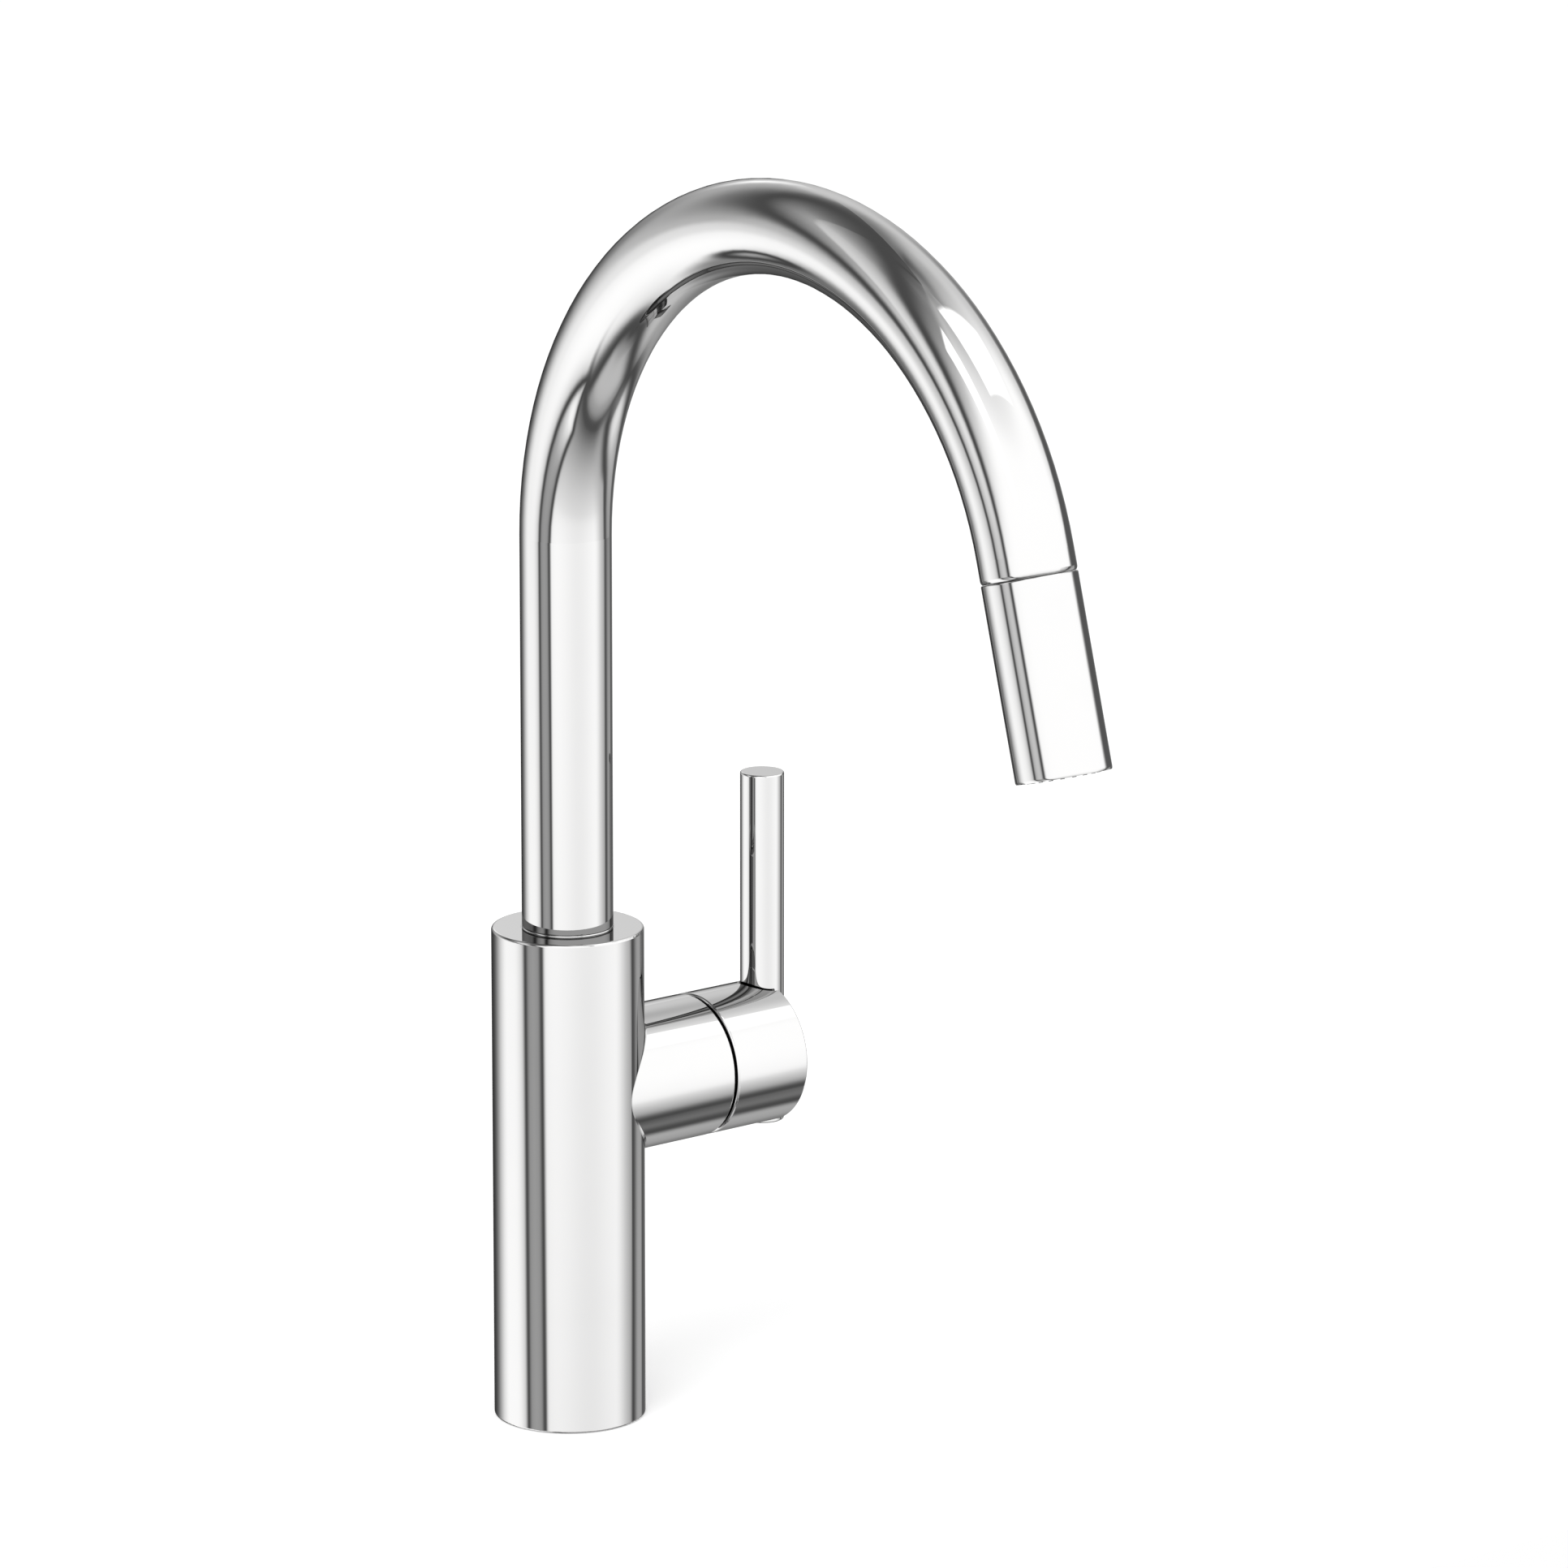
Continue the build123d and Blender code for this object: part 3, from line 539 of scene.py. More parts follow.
FINISHES: tuple[Finish, ...] = (
    Chrome("chrome_body", PALE_CHROME, 0.018),
    Chrome("chrome_spout", PALE_CHROME, 0.018),
    Chrome("chrome_handle", PALE_CHROME, 0.018),
    Chrome("chrome_head", PALE_CHROME, 0.022),
    Chrome("chrome_button", PALE_CHROME, 0.03),
    TurnedMetal("brass", (0.78, 0.56, 0.27), 0.24, tarnish=(0.42, 0.26, 0.11)),
    TurnedMetal("steel", (0.62, 0.61, 0.59), 0.26, tarnish=(0.42, 0.41, 0.40)),
    TurnedMetal("steel_ferrule", (0.68, 0.67, 0.65), 0.2, tarnish=(0.48, 0.47, 0.46), rings=FINE_RINGS),
    Rubber("rubber", (0.022, 0.022, 0.023), 0.55, bloom=(0.06, 0.06, 0.06)),
    Rubber("nozzle_rubber", (0.16, 0.165, 0.17), 0.45, bloom=(0.24, 0.245, 0.25), grain=FINE_GRAIN),
    Ceramic("ceramic", (0.86, 0.85, 0.81), 0.16),
    Moulded("cartridge_plastic", (0.74, 0.74, 0.71), 0.34, mottle=(0.66, 0.66, 0.62)),
    Moulded("bearing_plastic", (0.045, 0.045, 0.048), 0.38, mottle=(0.065, 0.065, 0.068)),
    Moulded("head_plastic", (0.085, 0.086, 0.09), 0.34, mottle=(0.11, 0.111, 0.115)),
    Moulded("face_plastic", (0.19, 0.193, 0.197), 0.32, mottle=(0.23, 0.233, 0.238)),
    Braid("hose_braid", GREY_BRAID, 0.42, shade=BRAID_PAINTED_SHADE),
    Braid("hose_braid_run", GREY_BRAID, 0.42, shade=BRAID_PAINTED_SHADE, lay=Lay.MAPPED),
    Moulded("connector_plastic", (0.07, 0.07, 0.074), 0.36, mottle=(0.095, 0.095, 0.1)),
)


class Dresser:
    """Makes the finishes once and puts them on pieces."""

    def __init__(self) -> None:
        """Makes every finish's material."""
        self.materials = {finish.slot: finish.material() for finish in FINISHES}

    def dress(self, piece: bpy.types.Object, finish: str) -> None:
        """Puts a finish, by its name, on a piece."""
        piece.data.materials.clear()
        piece.data.materials.append(self.materials[finish])

    def dress_frame(self) -> None:
        """Puts each slot's finish on the frame's own nodes."""
        for entry in frame["record"]["subparts"]:
            node, slot = entry["node"], entry["material_slot"]
            piece = frame["nodes"][node]
            if not piece.material_slots:
                piece.data.materials.append(None)
            for material_slot in piece.material_slots:
                material_slot.material = self.materials[slot]
            log.info("node %s: %s", node, slot)


# --------------------------------------------------------------------------------------------------------
# Room
# --------------------------------------------------------------------------------------------------------
# A line gives tones, widths or bearings at heights in degrees. A span is where a soft edge starts and ends,
# or where a round spot has its middle and how wide it is on each side.
Line = tuple[Span, ...]

SEAM_TONE = 0.29
PALE_FLOOR: Colour = (0.985, 0.985, 0.985)
WHITE: Colour = (1.0, 1.0, 1.0)


class Look:
    """A direction that metal looks in, as the parts of the room read it.

    Bearing and height are in degrees. Bearing 0 is the side that the camera stands on, and bearings grow to
    the camera's right. Narrow turns a step of bearing into the angle that it spans at that height.
    """

    def __init__(self, graph: Graph, direction: Wire, facing: float) -> None:
        """Reads a direction.

        Args:
            graph: The world's graph.
            direction: The direction looked in.
            facing: The bearing of the camera from the front of the part.
        """
        self.graph = graph
        axes = graph.add("ShaderNodeSeparateXYZ", {}, {0: direction})
        x, y, z = (Wire(graph, socket) for socket in axes.outputs)
        degrees = HALF_TURN_DEGREES / math.pi
        turned = x.math("ARCTAN2", -y) * degrees - facing
        self.axes = x, y, z
        self.bearing = turned.math("WRAP", HALF_TURN_DEGREES, -HALF_TURN_DEGREES)
        self.height = z.most(-1.0).least(1.0).math("ARCSINE") * degrees
        self.narrow = (1.0 - z * z).most(0.0) ** 0.5

    def read(self, line: Line) -> Wire:
        """Reads a line at this look's height.

        Args:
            line: Heights in degrees and the values there.

        Returns:
            The value at this height.
        """
        points = [(self.share(height), value) for height, value in line]
        inputs = {"Factor": 1.0, "Value": self.share(self.height)}
        return self.graph.node("ShaderNodeFloatCurve", {"points": points}, inputs)

    @staticmethod
    def share(height: Value) -> Value:
        """How far up a height in degrees is, from 0 straight down to 1 straight up."""
        return height / HALF_TURN_DEGREES + 0.5

    def near(self, bearing: Span, height: Span) -> Wire:
        """A round spot, from the middle and half width of its bells of bearing and of height."""
        return self.bearing.bell(*bearing) * self.height.bell(*height)


@dataclass(frozen=True)
class Ceiling:
    """The ceiling's two lamps: straight-edged panels on a level plane, one wide, and one long and slanted.

    Places on the plane are in ceiling heights: across towards +X, along towards the spout's side.
    """

    tone: float = 1.12
    least_rise: float = 0.05
    visible: Span = (20.0, 26.0)
    wide_sides: tuple[Span, Span] = ((-0.15, -0.10), (0.92, 0.80))
    wide_ends: tuple[Span, Span] = ((0.12, 0.16), (0.69, 0.65))
    slant: float = 0.386
    slant_start: float = 0.17
    long_sides: tuple[Span, Span] = ((-0.93, -0.85), (-0.45, -0.49))
    long_ends: tuple[Span, Span] = ((0.15, 0.19), (1.75, 1.35))

    def over(self, tone: Wire, look: Look) -> Wire:
        """Lays the lamps over the room.

        Args:
            tone: The room's tone without them.
            look: The direction that the tone is seen in.

        Returns:
            The tone with them.
        """
        x, y, z = look.axes
        above = z.most(self.least_rise)
        across, along = x / above, -y / above
        slanted = across + self.slant * (along - self.slant_start)
        wide = self.panel(across, self.wide_sides) * self.panel(along, self.wide_ends)
        long = self.panel(slanted, self.long_sides) * self.panel(along, self.long_ends)
        return tone.toward(self.tone, look.height.step(*self.visible) * wide.most(long))

    @staticmethod
    def panel(place: Wire, edges: tuple[Span, Span]) -> Wire:
        """Whether a place lies between two soft edges."""
        low, high = edges
        return place.step(*low) * place.step(*high)


@dataclass(frozen=True)
class RightSide:
    """The right side of the room: a card and the far wall, which meet below eye level by a dark wedge."""

    card: Line = ((-52, .30), (-45, .54), (-38, .88), (-32, .82), (-25, .70), (-15, .60), (-5, .55))
    card_edge: Line = ((-50, 88), (-40, 93), (-20, 113), (-10, 119))
    wall: Line = ((-85, .35), (-75, .50), (-62, .72), (-45, .62), (-25, .62), (-10, .64), (10, .74),
                  (40, .78), (62, .66), (90, .56))
    wall_edge: Line = ((-85, 145), (-75, 128), (-62, 120), (-55, 121), (-45, 133), (-30, 145), (-18, 153))
    below: Span = (-2.0, -12.0)
    above_ground: Span = (-56.0, -46.0)
    approach: Span = (-40.0, -2.0)
    approach_tone: float = 0.66
    edge: Span = (-3.0, 3.0)
    wall_rise: Span = (105.0, 150.0)
    card_seam_width: float = 4.4
    card_seam_flare: float = 3.6
    flare_side: Span = (-1.0, 3.0)
    flare_low: Span = (-24.0, -31.0)
    card_seam_top: Span = (-5.0, -14.0)
    wall_seam_width: float = 7.0
    wall_seam_top: Span = (0.0, -12.0)
    wedge_tone: float = 0.33
    wedge_lean: float = 1.5
    wedge_foot: float = 3.0
    wedge_left: Span = (108.0, 123.0)
    wedge_right: Span = (178.0, 163.0)
    wedge_bottom: Span = (-14.0, -8.0)
    wedge_deep: Span = (-26.0, -17.0)
    wedge_deep_side: Span = (141.0, 150.0)
    wedge_top: Span = (32.0, 5.0)

    def over(self, tone: Wire, look: Look) -> Wire:
        """Lays this side over the room.

        Args:
            tone: The room's tone without this side.
            look: The direction that the tone is seen in.

        Returns:
            The tone with it.
        """
        below = look.height.step(*self.below)
        above_ground = look.height.step(*self.above_ground)
        past_card = look.bearing - look.read(self.card_edge)
        past_wall = look.bearing - look.read(self.wall_edge)
        wall = look.read(self.wall)
        tone = tone.toward(self.approach_tone, past_card.step(*self.approach) * below * above_ground)
        tone = tone.toward(look.read(self.card), past_card.step(*self.edge) * below * above_ground)
        tone = tone.toward(wall, past_wall.step(*self.edge) * below)
        tone = tone.toward(wall, look.bearing.step(*self.wall_rise) * (1.0 - below))
        flare = past_card.step(*self.flare_side).most(look.height.step(*self.flare_low))
        away = past_card * look.narrow / (self.card_seam_width + self.card_seam_flare * flare)
        card_seam = away.bell(0.0, 1.0) * look.height.step(*self.card_seam_top) * above_ground
        wall_seam = (past_wall * look.narrow).bell(0.0, self.wall_seam_width)
        tone = tone.toward(SEAM_TONE, card_seam)
        tone = tone.toward(SEAM_TONE, wall_seam * look.height.step(*self.wall_seam_top))
        return tone.toward(self.wedge_tone, self.wedge(look))

    def wedge(self, look: Look) -> Wire:
        """Finds the dark wedge, which leans to the right as it rises.

        Args:
            look: The direction looked in.

        Returns:
            How much of the wedge it meets, from 0 to 1.
        """
        left = (look.bearing - self.wedge_lean * look.height.most(self.wedge_foot)).step(*self.wedge_left)
        deep = look.bearing.step(*self.wedge_deep_side) * look.height.step(*self.wedge_deep)
        bottom = look.height.step(*self.wedge_bottom).most(deep)
        return left * look.bearing.step(*self.wedge_right) * bottom * look.height.step(*self.wedge_top)


@dataclass(frozen=True)
class BackWall:
    """The wall behind the part, with its dusk, its dim corners and one small light."""

    wall: Line = ((-85, .33), (-75, .60), (-65, .74), (-50, .62), (-25, .46), (-10, .60), (15, .755),
                  (25, .775), (50, .50), (62, .45), (75, .48), (90, .55))
    from_left: Span = (-120.0, -172.0)
    from_right: Span = (150.0, 178.0)
    dusk_tone: float = 0.22
    dusk_lean: float = 4.0
    dusk_lean_height: Span = (-18.0, -8.0)
    dusk_side: Span = (-102.0, -161.0)
    dusk_height: Span = (-12.0, 26.0)
    dusk_top: Span = (10.0, -2.0)
    low_tone: float = 0.30
    low_share: float = 0.62
    low_sides: tuple[Span, Span] = ((-108.0, -132.0), (-174.0, -162.0))
    low_top: Span = (-17.0, -26.0)
    low_bottom: Span = (-68.0, -50.0)
    hollow_loss: float = 0.22
    hollow: tuple[Span, Span] = ((-152.0, 13.0), (8.0, 9.0))
    high_loss: float = 0.12
    high_sides: tuple[Span, Span] = ((-98.0, -108.0), (-178.0, -168.0))
    high_bottom: Span = (0.0, 8.0)
    high_top: Span = (42.0, 34.0)
    corner_loss: float = 0.10
    corner_side: Span = (-92.0, 14.0)
    corner_bottom: Span = (-14.0, -5.0)
    corner_top: Span = (14.0, 4.0)
    light_tone: float = 1.0
    light: tuple[Span, Span] = ((-172.0, 7.0), (19.0, 5.0))

    def over(self, tone: Wire, look: Look) -> Wire:
        """Lays this wall over the room.

        Args:
            tone: The room's tone without this wall.
            look: The direction that the tone is seen in.

        Returns:
            The tone with it.
        """
        bearing, height = look.bearing, look.height
        behind = bearing.step(*self.from_left).most(bearing.step(*self.from_right))
        tone = tone.toward(look.read(self.wall), behind)
        leant = bearing + self.dusk_lean * height.step(*self.dusk_lean_height)
        dusk = leant.step(*self.dusk_side) * height.bell(*self.dusk_height) * height.step(*self.dusk_top)
        tone = tone.toward(self.dusk_tone, dusk)
        low = self.between(bearing, self.low_sides) * height.step(*self.low_top)
        tone = tone.toward(self.low_tone, self.low_share * low * height.step(*self.low_bottom))
        tone = tone * (1.0 - self.hollow_loss * look.near(*self.hollow))
        high = self.between(bearing, self.high_sides) * height.step(*self.high_bottom)
        tone = tone * (1.0 - self.high_loss * high * height.step(*self.high_top))
        corner = bearing.bell(*self.corner_side) * height.step(*self.corner_bottom)
        tone = tone * (1.0 - self.corner_loss * corner * height.step(*self.corner_top))
        return tone.toward(self.light_tone, look.near(*self.light))

    @staticmethod
    def between(bearing: Wire, sides: tuple[Span, Span]) -> Wire:
        """Whether a bearing lies between two soft sides."""
        near, far = sides
        return bearing.step(*near) * bearing.step(*far)


@dataclass(frozen=True)
class SlantedCard:
    """The card that stands on the left in a dark frame, slanted, and the shades round it."""

    left_wall: Line = ((-90, .35), (-80, .58), (-70, .86), (-50, .97), (-30, 1.0), (-10, .945), (5, .845),
                       (20, .68), (35, .54), (60, .52), (90, .50))
    left_wall_edge: Span = (1.5, -1.5)
    card: Line = ((-50, .86), (-45, .90), (-40, 1.0), (-36, .92), (-30, .76), (-22, .62), (-13, .60),
                  (-6, .74), (5, .88), (12, .92), (29, .87), (45, .79), (50, .71), (58, .58), (75, .38))
    card_edge: Span = (-1.5, 1.5)
    left_edge: Line = ((-90, -75), (-75, -38), (-65, -24), (-58, -22), (-54, -27), (-50, -38), (-35, -53),
                       (-8, -71), (3, -81.5), (15, -90), (31, -113), (38, -129), (45, -147), (54, -160),
                       (67, -167))
    right_edge: Line = ((-42, -17), (-30, -28), (-15, -39), (0, -48), (20, -56), (38, -62), (58, -68),
                        (68, -77), (74, -90))
    round_seam: float = -100.0
    left_squeeze: float = 0.38
    squeeze_height: Span = (-8.0, 8.0)
    right_rounding: float = 4.0
    top: float = 75.0
    top_rounding: float = 12.0
    bottom_slope: float = 0.656
    bottom_rise: float = 28.7
    bottom_squeeze: float = 0.725
    bottom_rounding: float = 2.0
    foot_lean: float = 6.0
    foot_flare: float = 7.0
    foot_side: Span = (2.0, -2.0)
    foot_top: Span = (-46.0, -53.0)
    knot_tone: float = 0.27
    knot_bearing: float = 125.0
    knot_height: float = 38.5
    knot_ring: Span = (5.8, 3.0)
    frame_width: Line = ((-50, 2.6), (-20, 3.4), (0, 4.2), (30, 5.5), (60, 7.0))
    shoulder: Line = ((-50, .16), (0, .17), (30, .34), (60, .50))
    shoulder_reach: float = 3.0
    most_shoulder: float = 0.85
    middle: Span = (-6.0, 6.0)
    left_gain: float = 1.1
    left_gain_height: Span = (12.0, 30.0)
    right_loss: float = 0.45
    right_loss_height: Span = (-6.0, 4.0)
    outside_gain: float = 0.9
    outside_gain_side: Span = (0.0, -4.0)
    outside_gain_height: Span = (2.0, -8.0)
    beyond_loss: float = 0.7
    beyond_side: Span = (0.0, 4.0)
    fade: Line = ((-10, 4.0), (7, 5.5), (22, 11.0), (32, 18.0), (42, 26.0), (52, 38.0), (62, 50.0))
    fade_end: Span = (-14.0, -40.0)
    fade_bottom: Span = (1.0, 13.0)

    def fading(self, look: Look) -> Wire:
        """Finds the soft shade that fades out to the right of the card.

        Args:
            look: The direction looked in.

        Returns:
            How much of the shade it meets, from 0 to 1.
        """
        past_right = (look.bearing - look.read(self.right_edge)).most(0.0)
        shade = (-past_right / look.read(self.fade)).math("EXPONENT")
        return shade * look.bearing.step(*self.fade_end) * look.height.step(*self.fade_bottom)

    def beside(self, tone: Wire, look: Look) -> Wire:
        """Lays the wall to the left of the card over the room's tone."""
        past_left = look.bearing - look.read(self.left_edge)
        return tone.toward(look.read(self.left_wall), past_left.step(*self.left_wall_edge))

    def over(self, tone: Wire, look: Look) -> Wire:
        """Lays the card and its dark frame over the room.

        Args:
            tone: The room's tone without them.
            look: The direction that the tone is seen in.

        Returns:
            The tone with them.
        """
        bearing, height, narrow = look.bearing, look.height, look.narrow
        past_left = bearing - look.read(self.left_edge)
        past_right = bearing - look.read(self.right_edge)
        lean = self.foot_lean + self.foot_flare * past_left.step(*self.foot_side)
        foot = (past_left * narrow / lean).bell(0.0, 1.0) * height.step(*self.foot_top)
        tone = tone.toward(SEAM_TONE, foot)
        aside = ((bearing + self.knot_bearing) * narrow) ** 2.0 + (height + self.knot_height) ** 2.0
        tone = tone.toward(self.knot_tone, (aside ** 0.5).bell(*self.knot_ring))
        inside = self.inside(look, past_left, past_right)
        tone = tone.toward(look.read(self.card), inside.step(*self.card_edge))
        soft = self.softness(look, past_left, past_right)
        width = look.read(self.frame_width)
        line = inside.bell(0.0, width) * (1.0 - soft) + inside.bell(0.0, width * self.shoulder_reach) * soft
        return tone.toward(SEAM_TONE, line)

    def inside(self, look: Look, past_left: Wire, past_right: Wire) -> Wire:
        """Measures how far inside the card's outline a look meets it.

        Args:
            look: The direction looked in.
            past_left: How far its bearing is past the card's left edge.
            past_right: How far it is past the right edge.

        Returns:
            The angle to the nearest edge, negative outside.
        """
        bearing, height, narrow = look.bearing, look.height, look.narrow
        past_seam = (bearing - self.round_seam).math("WRAP", HALF_TURN_DEGREES, -HALF_TURN_DEGREES)
        round_back = past_seam + self.round_seam - bearing
        stretch = narrow * (1.0 - self.left_squeeze * height.step(*self.squeeze_height))
        from_left, from_right = (past_left + round_back) * stretch, -(past_right + round_back) * narrow
        from_bottom = (height - bearing * self.bottom_slope + self.bottom_rise) * self.bottom_squeeze
        inside = from_left.math("SMOOTH_MIN", from_right, self.right_rounding)
        inside = inside.math("SMOOTH_MIN", self.top - height, self.top_rounding)
        return inside.math("SMOOTH_MIN", from_bottom, self.bottom_rounding)

    def softness(self, look: Look, past_left: Wire, past_right: Wire) -> Wire:
        """Finds how much of the frame's line is soft shoulder.

        Args:
            look: The direction looked in.
            past_left: How far its bearing is past the card's left edge.
            past_right: How far it is past the right edge.

        Returns:
            The shoulder's share, from 0 to 1.
        """
        height = look.height
        near_right = (past_left + past_right).step(*self.middle)
        outside = past_left.step(*self.outside_gain_side) * height.step(*self.outside_gain_height)
        soft = look.read(self.shoulder)
        soft = soft * (1.0 + self.left_gain * height.step(*self.left_gain_height) * (1.0 - near_right))
        soft = soft * (1.0 - self.right_loss * height.step(*self.right_loss_height) * near_right)
        soft = soft * (1.0 + self.outside_gain * outside)
        soft = soft * (1.0 - self.beyond_loss * past_right.step(*self.beyond_side))
        return soft.least(self.most_shoulder)


@dataclass(frozen=True)
class Room:
    """What bright metal mirrors: a white room with soft shades, by direction.

    Tones are display brightness, from 0, black, to 1, white. Each further mirror darkens the room a little.
    """

    facing: float = -39.15
    front: Line = ((-90, .33), (-80, .60), (-68, .72), (-58, .60), (-54, .42), (-51.5, .30), (-49, .37),
                   (-45, .50), (-40, .62), (-30, .78), (-22, .88), (-15, .972), (-8, .99), (35, 1.0),
                   (50, .93), (70, .76), (90, .58))
    veil: float = 0.055
    veil_place: tuple[Span, Span] = ((32.0, 34.0), (-14.0, 12.0))
    again: float = 0.58
    ceiling: Ceiling = Ceiling()
    right: RightSide = RightSide()
    back: BackWall = BackWall()
    card: SlantedCard = SlantedCard()

    def tone(self, graph: Graph, direction: Wire, depth: Wire) -> Wire:
        """The room's brightness in a direction.

        Args:
            graph: The world's graph.
            direction: The direction looked in.
            depth: How many mirrors the look has met.

        Returns:
            Its display brightness.
        """
        look = Look(graph, direction, self.facing)
        tone = look.read(self.front) - self.veil * look.near(*self.veil_place)
        tone = tone.toward(SEAM_TONE, self.card.fading(look))
        tone = self.ceiling.over(tone, look)
        tone = self.right.over(tone, look)
        tone = self.card.beside(tone, look)
        tone = self.back.over(tone, look)
        tone = self.card.over(tone, look)
        return tone * ((depth - 1.0).most(0.0) * math.log(self.again)).math("EXPONENT")


# --------------------------------------------------------------------------------------------------------
# Studio
# --------------------------------------------------------------------------------------------------------
@dataclass(frozen=True)
class Studio:
    """The camera, the pale floor, the soft light and what the chrome mirrors.

    Sizes and places are in metres, the lens and its sensor in millimetres, and angles in degrees.
    """

    lens: float = 199.16
    sensor: float = 36.0
    clip: Span = (0.1, 50.0)
    camera_place: Point = (-1.70170, -2.20351, 0.90139)
    azimuth: float = -39.154
    elevation: float = 13.815
    roll: float = 0.058
    floor_radius: float = 6.0
    floor_sides: int = 96
    floor_drop: float = 0.0002
    floor_front: float = -0.30
    floor_lift: float = 0.14
    cloud_scale: float = 3.0
    cloud_detail: float = 2.0
    ambient: float = 0.86
    gamma: float = 2.2
    lamp_side: float = 1.6
    lamp_power: float = 26.0
    lamp_place: Point = (-1.6, -0.9, 2.2)
    lamp_target: Point = (0.0, -0.1, 0.2)
    room: Room = Room()

    def build(self) -> None:
        """Sets up the whole studio."""
        scene = bpy.context.scene
        scene.view_settings.view_transform = "Standard"
        self.build_camera(scene)
        self.build_floor(scene)
        self.build_world(scene)
        self.build_lamp(scene)

    def build_camera(self, scene: bpy.types.Scene) -> None:
        """Stands the camera at its viewing angle.

        Args:
            scene: The scene.
        """
        data = bpy.data.cameras.new("camera")
        data.lens = self.lens
        data.sensor_width = self.sensor
        data.clip_start, data.clip_end = self.clip
        camera = bpy.data.objects.new("camera", data)
        around, above, tilt = (math.radians(angle) for angle in (self.azimuth, self.elevation, self.roll))
        right = Vector((math.cos(around), math.sin(around), 0.0))
        level_back = Vector((math.sin(around), -math.cos(around), 0.0))
        back = level_back * math.cos(above) + Vector((0.0, 0.0, math.sin(above)))
        up = back.cross(right)
        level = right * math.cos(tilt) + up * math.sin(tilt)
        upright = up * math.cos(tilt) - right * math.sin(tilt)
        turn = Matrix((level, upright, back)).transposed().to_4x4()
        camera.matrix_world = Matrix.Translation(Vector(self.camera_place)) @ turn
        scene.collection.objects.link(camera)
        scene.camera = camera
        log.info("camera: azimuth %.2f, elevation %.2f, %.1f mm", self.azimuth, self.elevation, self.lens)

    def build_floor(self, scene: bpy.types.Scene) -> None:
        """Lays a pale floor, which takes the object's shadow and ends where the sink's bowl would start.

        Args:
            scene: The scene.
        """
        turns = [FULL_TURN * step / self.floor_sides for step in range(self.floor_sides)]
        rim = [(self.floor_radius * math.cos(turn),
                max(self.floor_front, self.floor_radius * math.sin(turn)),
                -self.floor_drop) for turn in turns]
        mesh = bpy.data.meshes.new("floor")
        mesh.from_pydata(rim, [], [tuple(range(self.floor_sides))])
        floor = bpy.data.objects.new("floor", mesh)
        scene.collection.objects.link(floor)
        mesh.materials.append(self.floor_material())
        floor.visible_glossy = False
        log.info("floor: %.1f m across", 2 * self.floor_radius)

    def floor_material(self) -> bpy.types.Material:
        """Makes a pale, faintly clouded finish that is lifted to white where the camera sees it.

        Returns:
            The material.
        """
        made = bpy.data.materials.new("floor")
        made.use_nodes = True
        graph = Graph(made.node_tree)
        point = graph.node("ShaderNodeTexCoord", {}, {}, "Object")
        inputs = {"Vector": point, "Scale": self.cloud_scale, "Detail": self.cloud_detail}
        cloud = graph.node("ShaderNodeTexNoise", {}, inputs)
        pale = graph.node("ShaderNodeMix", {"data_type": "RGBA"}, {0: cloud, 6: PALE_FLOOR, 7: WHITE}, 2)
        shaded = graph.node("ShaderNodeBsdfDiffuse", {}, {"Color": pale})
        seen = graph.node("ShaderNodeLightPath", {}, {}, "Is Camera Ray")
        lifted = graph.node("ShaderNodeEmission", {}, {"Color": WHITE, "Strength": seen * self.floor_lift})
        both = graph.node("ShaderNodeAddShader", {}, {0: shaded, 1: lifted})
        graph.add("ShaderNodeOutputMaterial", {}, {"Surface": both})
        return made

    def build_world(self, scene: bpy.types.Scene) -> None:
        """Makes a white background, an even soft light and the room that bright metal mirrors.

        Args:
            scene: The scene.
        """
        world = bpy.data.worlds.new("studio")
        world.use_nodes = True
        scene.world = world
        graph = Graph(world.node_tree)
        direction = graph.node("ShaderNodeTexCoord", {}, {}, "Generated")
        rays = graph.add("ShaderNodeLightPath", {}, {})
        seen, glossy, through, depth = (
            Wire(graph, rays.outputs[name])
            for name in ("Is Camera Ray", "Is Glossy Ray", "Is Transmission Ray", "Glossy Depth")
        )
        room = self.room.tone(graph, direction, depth) ** self.gamma / PALE_CHROME[0]
        strength = graph.number(self.ambient).toward(room, glossy.most(through)).toward(1.0, seen)
        light = graph.node("ShaderNodeBackground", {}, {"Color": WHITE, "Strength": strength})
        graph.add("ShaderNodeOutputWorld", {}, {"Surface": light})
        world.cycles.sampling_method = "NONE"
        log.info("world: white, with a soft room for the metal")

    def build_lamp(self, scene: bpy.types.Scene) -> None:
        """Hangs one large soft lamp high on the camera's left.

        Args:
            scene: The scene.
        """
        data = bpy.data.lights.new("softbox", "AREA")
        data.shape = "SQUARE"
        data.size = self.lamp_side
        data.energy = self.lamp_power
        lamp = bpy.data.objects.new("softbox", data)
        lamp.location = self.lamp_place
        aim = Vector(self.lamp_target) - Vector(self.lamp_place)
        lamp.rotation_euler = aim.to_track_quat("-Z", "Y").to_euler()
        lamp.visible_glossy = False
        lamp.visible_camera = False
        scene.collection.objects.link(lamp)
        log.info("lamp: %.1f m softbox", self.lamp_side)


# --------------------------------------------------------------------------------------------------------
# Hose and spring
# --------------------------------------------------------------------------------------------------------
SEAM_ABOVE_SPIN = 10.0


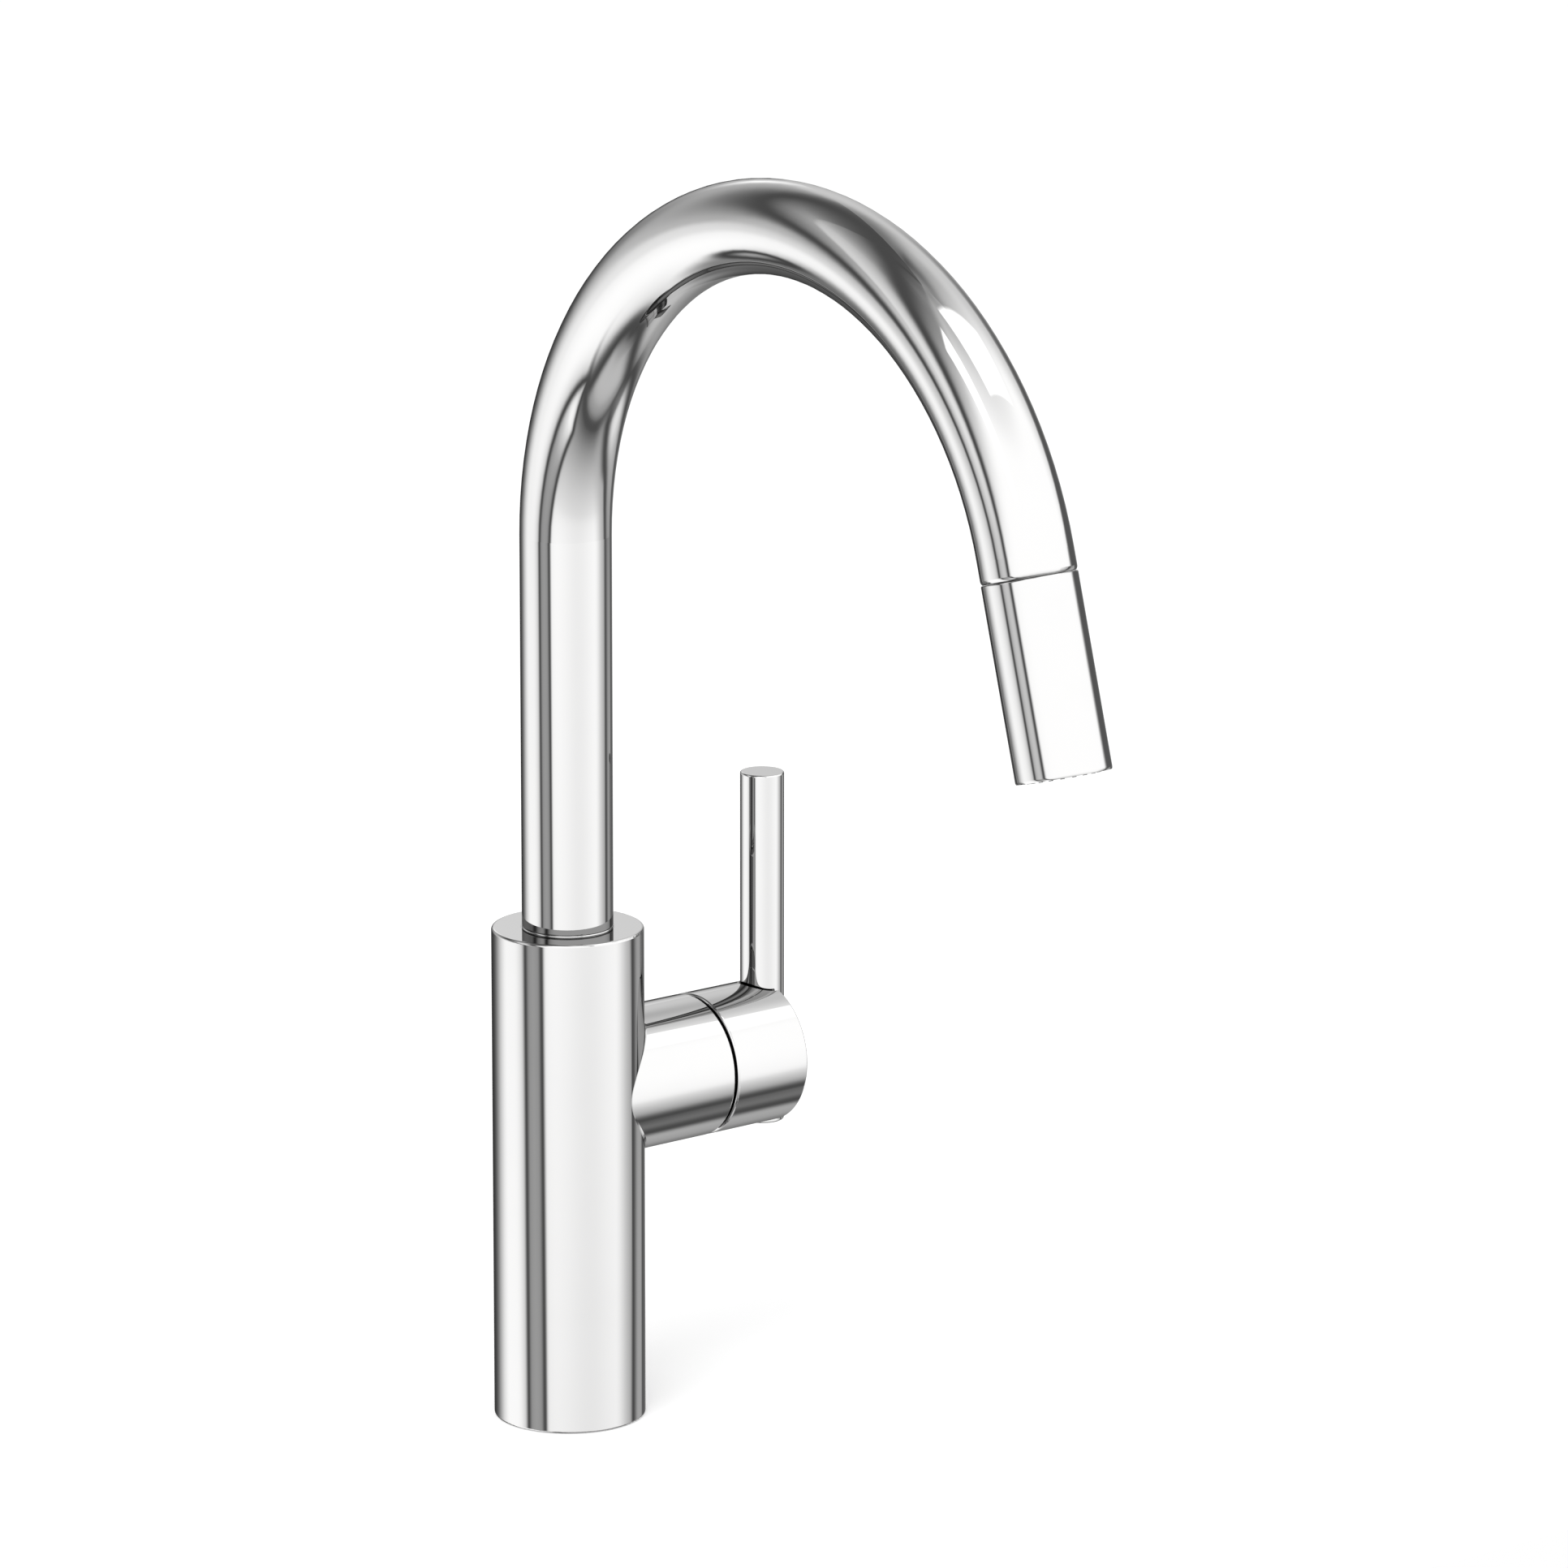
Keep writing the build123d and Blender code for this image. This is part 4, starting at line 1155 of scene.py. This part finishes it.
@dataclass(frozen=True)
class HeadFrame:
    """The spray head's own axes: across is +X, upward runs up into the spout, beside is square to both.

    Seam is the middle of the line where the head meets the spout, in millimetres.
    """

    seam: Point
    upward: Point

    @classmethod
    def from_joints(cls) -> "HeadFrame":
        """Takes the axes from the frame's joints.

        Returns:
            The head's axes at rest.
        """
        joints = {joint["name"]: joint for joint in frame["joints"]}
        upward = -Vector(joints["head_pull"]["axis"])
        spin = Vector(joints["head_spin"]["pos_m"]) / MM
        return cls(tuple(spin + upward * SEAM_ABOVE_SPIN), tuple(upward))

    def place(self, across: float, beside: float, above: float) -> Point:
        """A point near the head, in metres.

        Args:
            across: How far it lies along +X, in millimetres.
            beside: How far it lies towards the button's side.
            above: How far it lies above the head's seam.

        Returns:
            The point in the frame.
        """
        level = Vector((1.0, 0.0, 0.0))
        upward = Vector(self.upward)
        spot = (Vector(self.seam) + level * across + upward.cross(level) * beside + upward * above) * MM
        return spot.x, spot.y, spot.z


def ring_faces(rings: int, segments: int, closed: bool) -> list[tuple[int, ...]]:
    """Quads between neighbouring rings of points.

    Args:
        rings: How many rings there are.
        segments: How many points each ring has.
        closed: Whether the last ring joins the first one.

    Returns:
        The points of each quad.
    """
    quads = []
    for ring in range(rings if closed else rings - 1):
        after = (ring + 1) % rings
        for step in range(segments):
            turn = (step + 1) % segments
            corners = ((ring, turn), (ring, step), (after, step), (after, turn))
            quads.append(tuple(row * segments + column for row, column in corners))
    return quads


def new_piece(name: str, points: list[Point], faces: list[tuple[int, ...]]) -> bpy.types.Object:
    """Makes a piece whose quads are shaded smooth and whose end caps stay flat.

    Args:
        name: The piece's name.
        points: Its points in metres.
        faces: The points of each face.

    Returns:
        The piece, in the scene.
    """
    mesh = bpy.data.meshes.new(name)
    mesh.from_pydata(points, [], faces)
    for face in mesh.polygons:
        face.use_smooth = len(face.vertices) == 4
    piece = bpy.data.objects.new(name, mesh)
    bpy.context.scene.collection.objects.link(piece)
    return piece


@dataclass(frozen=True)
class HoseRun:
    """The stretch of braided hose that the spray head draws out of the spout.

    At rest it lies folded up inside the ferrule. Radius and bore are its outer and inner radii, and top and
    foot are heights above the head's seam.
    """

    radius: float = 6.02
    bore: float = 4.0
    top: float = 7.3
    foot: float = -1.9
    travel: float = 450.0
    rings: int = 220
    segments: int = 48
    pitch: float = 3.4
    strands: int = 12
    head: HeadFrame = field(default_factory=HeadFrame.from_joints)

    def build(self, dresser: Dresser) -> None:
        """Makes the run and dresses it.

        Args:
            dresser: Holds the finishes.
        """
        shares = np.linspace(0.0, 1.0, self.rings)
        points = self.points(shares)
        faces = ring_faces(len(points) // self.segments, self.segments, closed=True)
        run = new_piece("hose_run", points, faces)
        self.map_weave(run.data, shares)
        dresser.dress(run, "hose_braid_run")
        start, end = (self.head.place(0.0, 0.0, height) for height in (self.top, self.foot))
        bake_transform(run)
        log.info("piece hose_run: %d rings, %.0f mm of travel", self.rings, self.travel)

    def points(self, shares: np.ndarray) -> list[Point]:
        """The rings' points, from the top down and back up inside.

        Args:
            shares: Where each ring lies between the run's top and its foot.

        Returns:
            The points in metres.
        """
        heights = [self.top + share * (self.foot - self.top) for share in shares]
        rings = [(self.radius, height) for height in heights]
        rings += [(self.bore, heights[-1]), (self.bore, heights[0])]
        turns = [FULL_TURN * step / self.segments for step in range(self.segments)]
        return [self.head.place(radius * math.cos(turn), radius * math.sin(turn), height)
                for radius, height in rings for turn in turns]

    def map_weave(self, mesh: bpy.types.Mesh, shares: np.ndarray) -> None:
        """Writes where the strands lie when the hose is drawn out, which eases in and out along it.

        Args:
            mesh: The run's mesh.
            shares: Where each ring lies between the run's top and its foot.
        """
        drawn = shares * shares * (3.0 - 2.0 * shares) * self.travel / self.pitch
        along = np.append(drawn, (drawn[-1], drawn[0]))
        layer = mesh.uv_layers.new(name="weave")
        for face in mesh.polygons:
            columns = [mesh.loops[index].vertex_index % self.segments for index in face.loop_indices]
            wraps = max(columns) - min(columns) > 1
            for index, column in zip(face.loop_indices, columns):
                ring = mesh.loops[index].vertex_index // self.segments
                turn = self.segments if wraps and column == 0 else column
                layer.data[index].uv = (along[ring], self.strands * turn / self.segments)


@dataclass(frozen=True)
class ReturnSpring:
    """The coil that pushes the diverter and the spray button back out.

    Its middle line runs from start to end beside the head's axis, at one height above the seam.
    """

    wire: float = 0.3
    radius: float = 2.75
    turns: int = 4
    start: float = 4.55
    end: float = 9.35
    height: float = -36.0
    keep: float = 0.84
    steps: int = 36
    segments: int = 16
    head: HeadFrame = field(default_factory=HeadFrame.from_joints)

    def build(self, dresser: Dresser) -> None:
        """Makes the spring, dresses it, hides the frame's own spring and hangs it on the wand.

        Args:
            dresser: Holds the finishes.
        """
        spring = new_piece("return_spring", self.points(), self.faces())
        dresser.dress(spring, "steel")
        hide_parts("diverter_spring")
        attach(spring, "wand")
        floor = self.head.place(0.0, self.start - self.wire, self.height)
        outer = self.head.place(0.0, self.end + self.wire, self.height)
        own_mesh(spring)
        log.info("piece return_spring: %d turns of %.1f mm wire", self.turns, 2.0 * self.wire)

    def points(self) -> list[Point]:
        """Makes rings of the round wire along the coil.

        Returns:
            Their points in metres.
        """
        rise = (self.end - self.start) / (FULL_TURN * self.turns)
        lean = math.atan2(rise, self.radius)
        made = []
        for step in range(self.turns * self.steps + 1):
            turn = FULL_TURN * step / self.steps
            for segment in range(self.segments):
                side = FULL_TURN * segment / self.segments
                out, up = self.wire * math.cos(side), self.wire * math.sin(side)
                reach, back = self.radius + out, up * math.sin(lean)
                across = reach * math.cos(turn) + back * math.sin(turn)
                above = back * math.cos(turn) - reach * math.sin(turn)
                beside = self.start + rise * turn + up * math.cos(lean)
                made.append(self.head.place(across, beside, self.height + above))
        return made

    def faces(self) -> list[tuple[int, ...]]:
        """Joins the wire's rings and caps both of its ends.

        Returns:
            The points of each face.
        """
        last = self.turns * self.steps
        first_cap = tuple(range(self.segments))
        last_cap = tuple(last * self.segments + segment for segment in reversed(range(self.segments)))
        return [first_cap, *ring_faces(last + 1, self.segments, closed=False), last_cap]


def main() -> None:
    """Builds the studio, dresses the frame's nodes and adds the hose and the spring."""
    logging.basicConfig(level=logging.INFO, format="%(name)s: %(message)s")
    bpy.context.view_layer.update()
    Studio().build()
    dresser = Dresser()
    dresser.dress_frame()
    HoseRun().build(dresser)
    ReturnSpring().build(dresser)


if __name__ == "__main__":
    main()
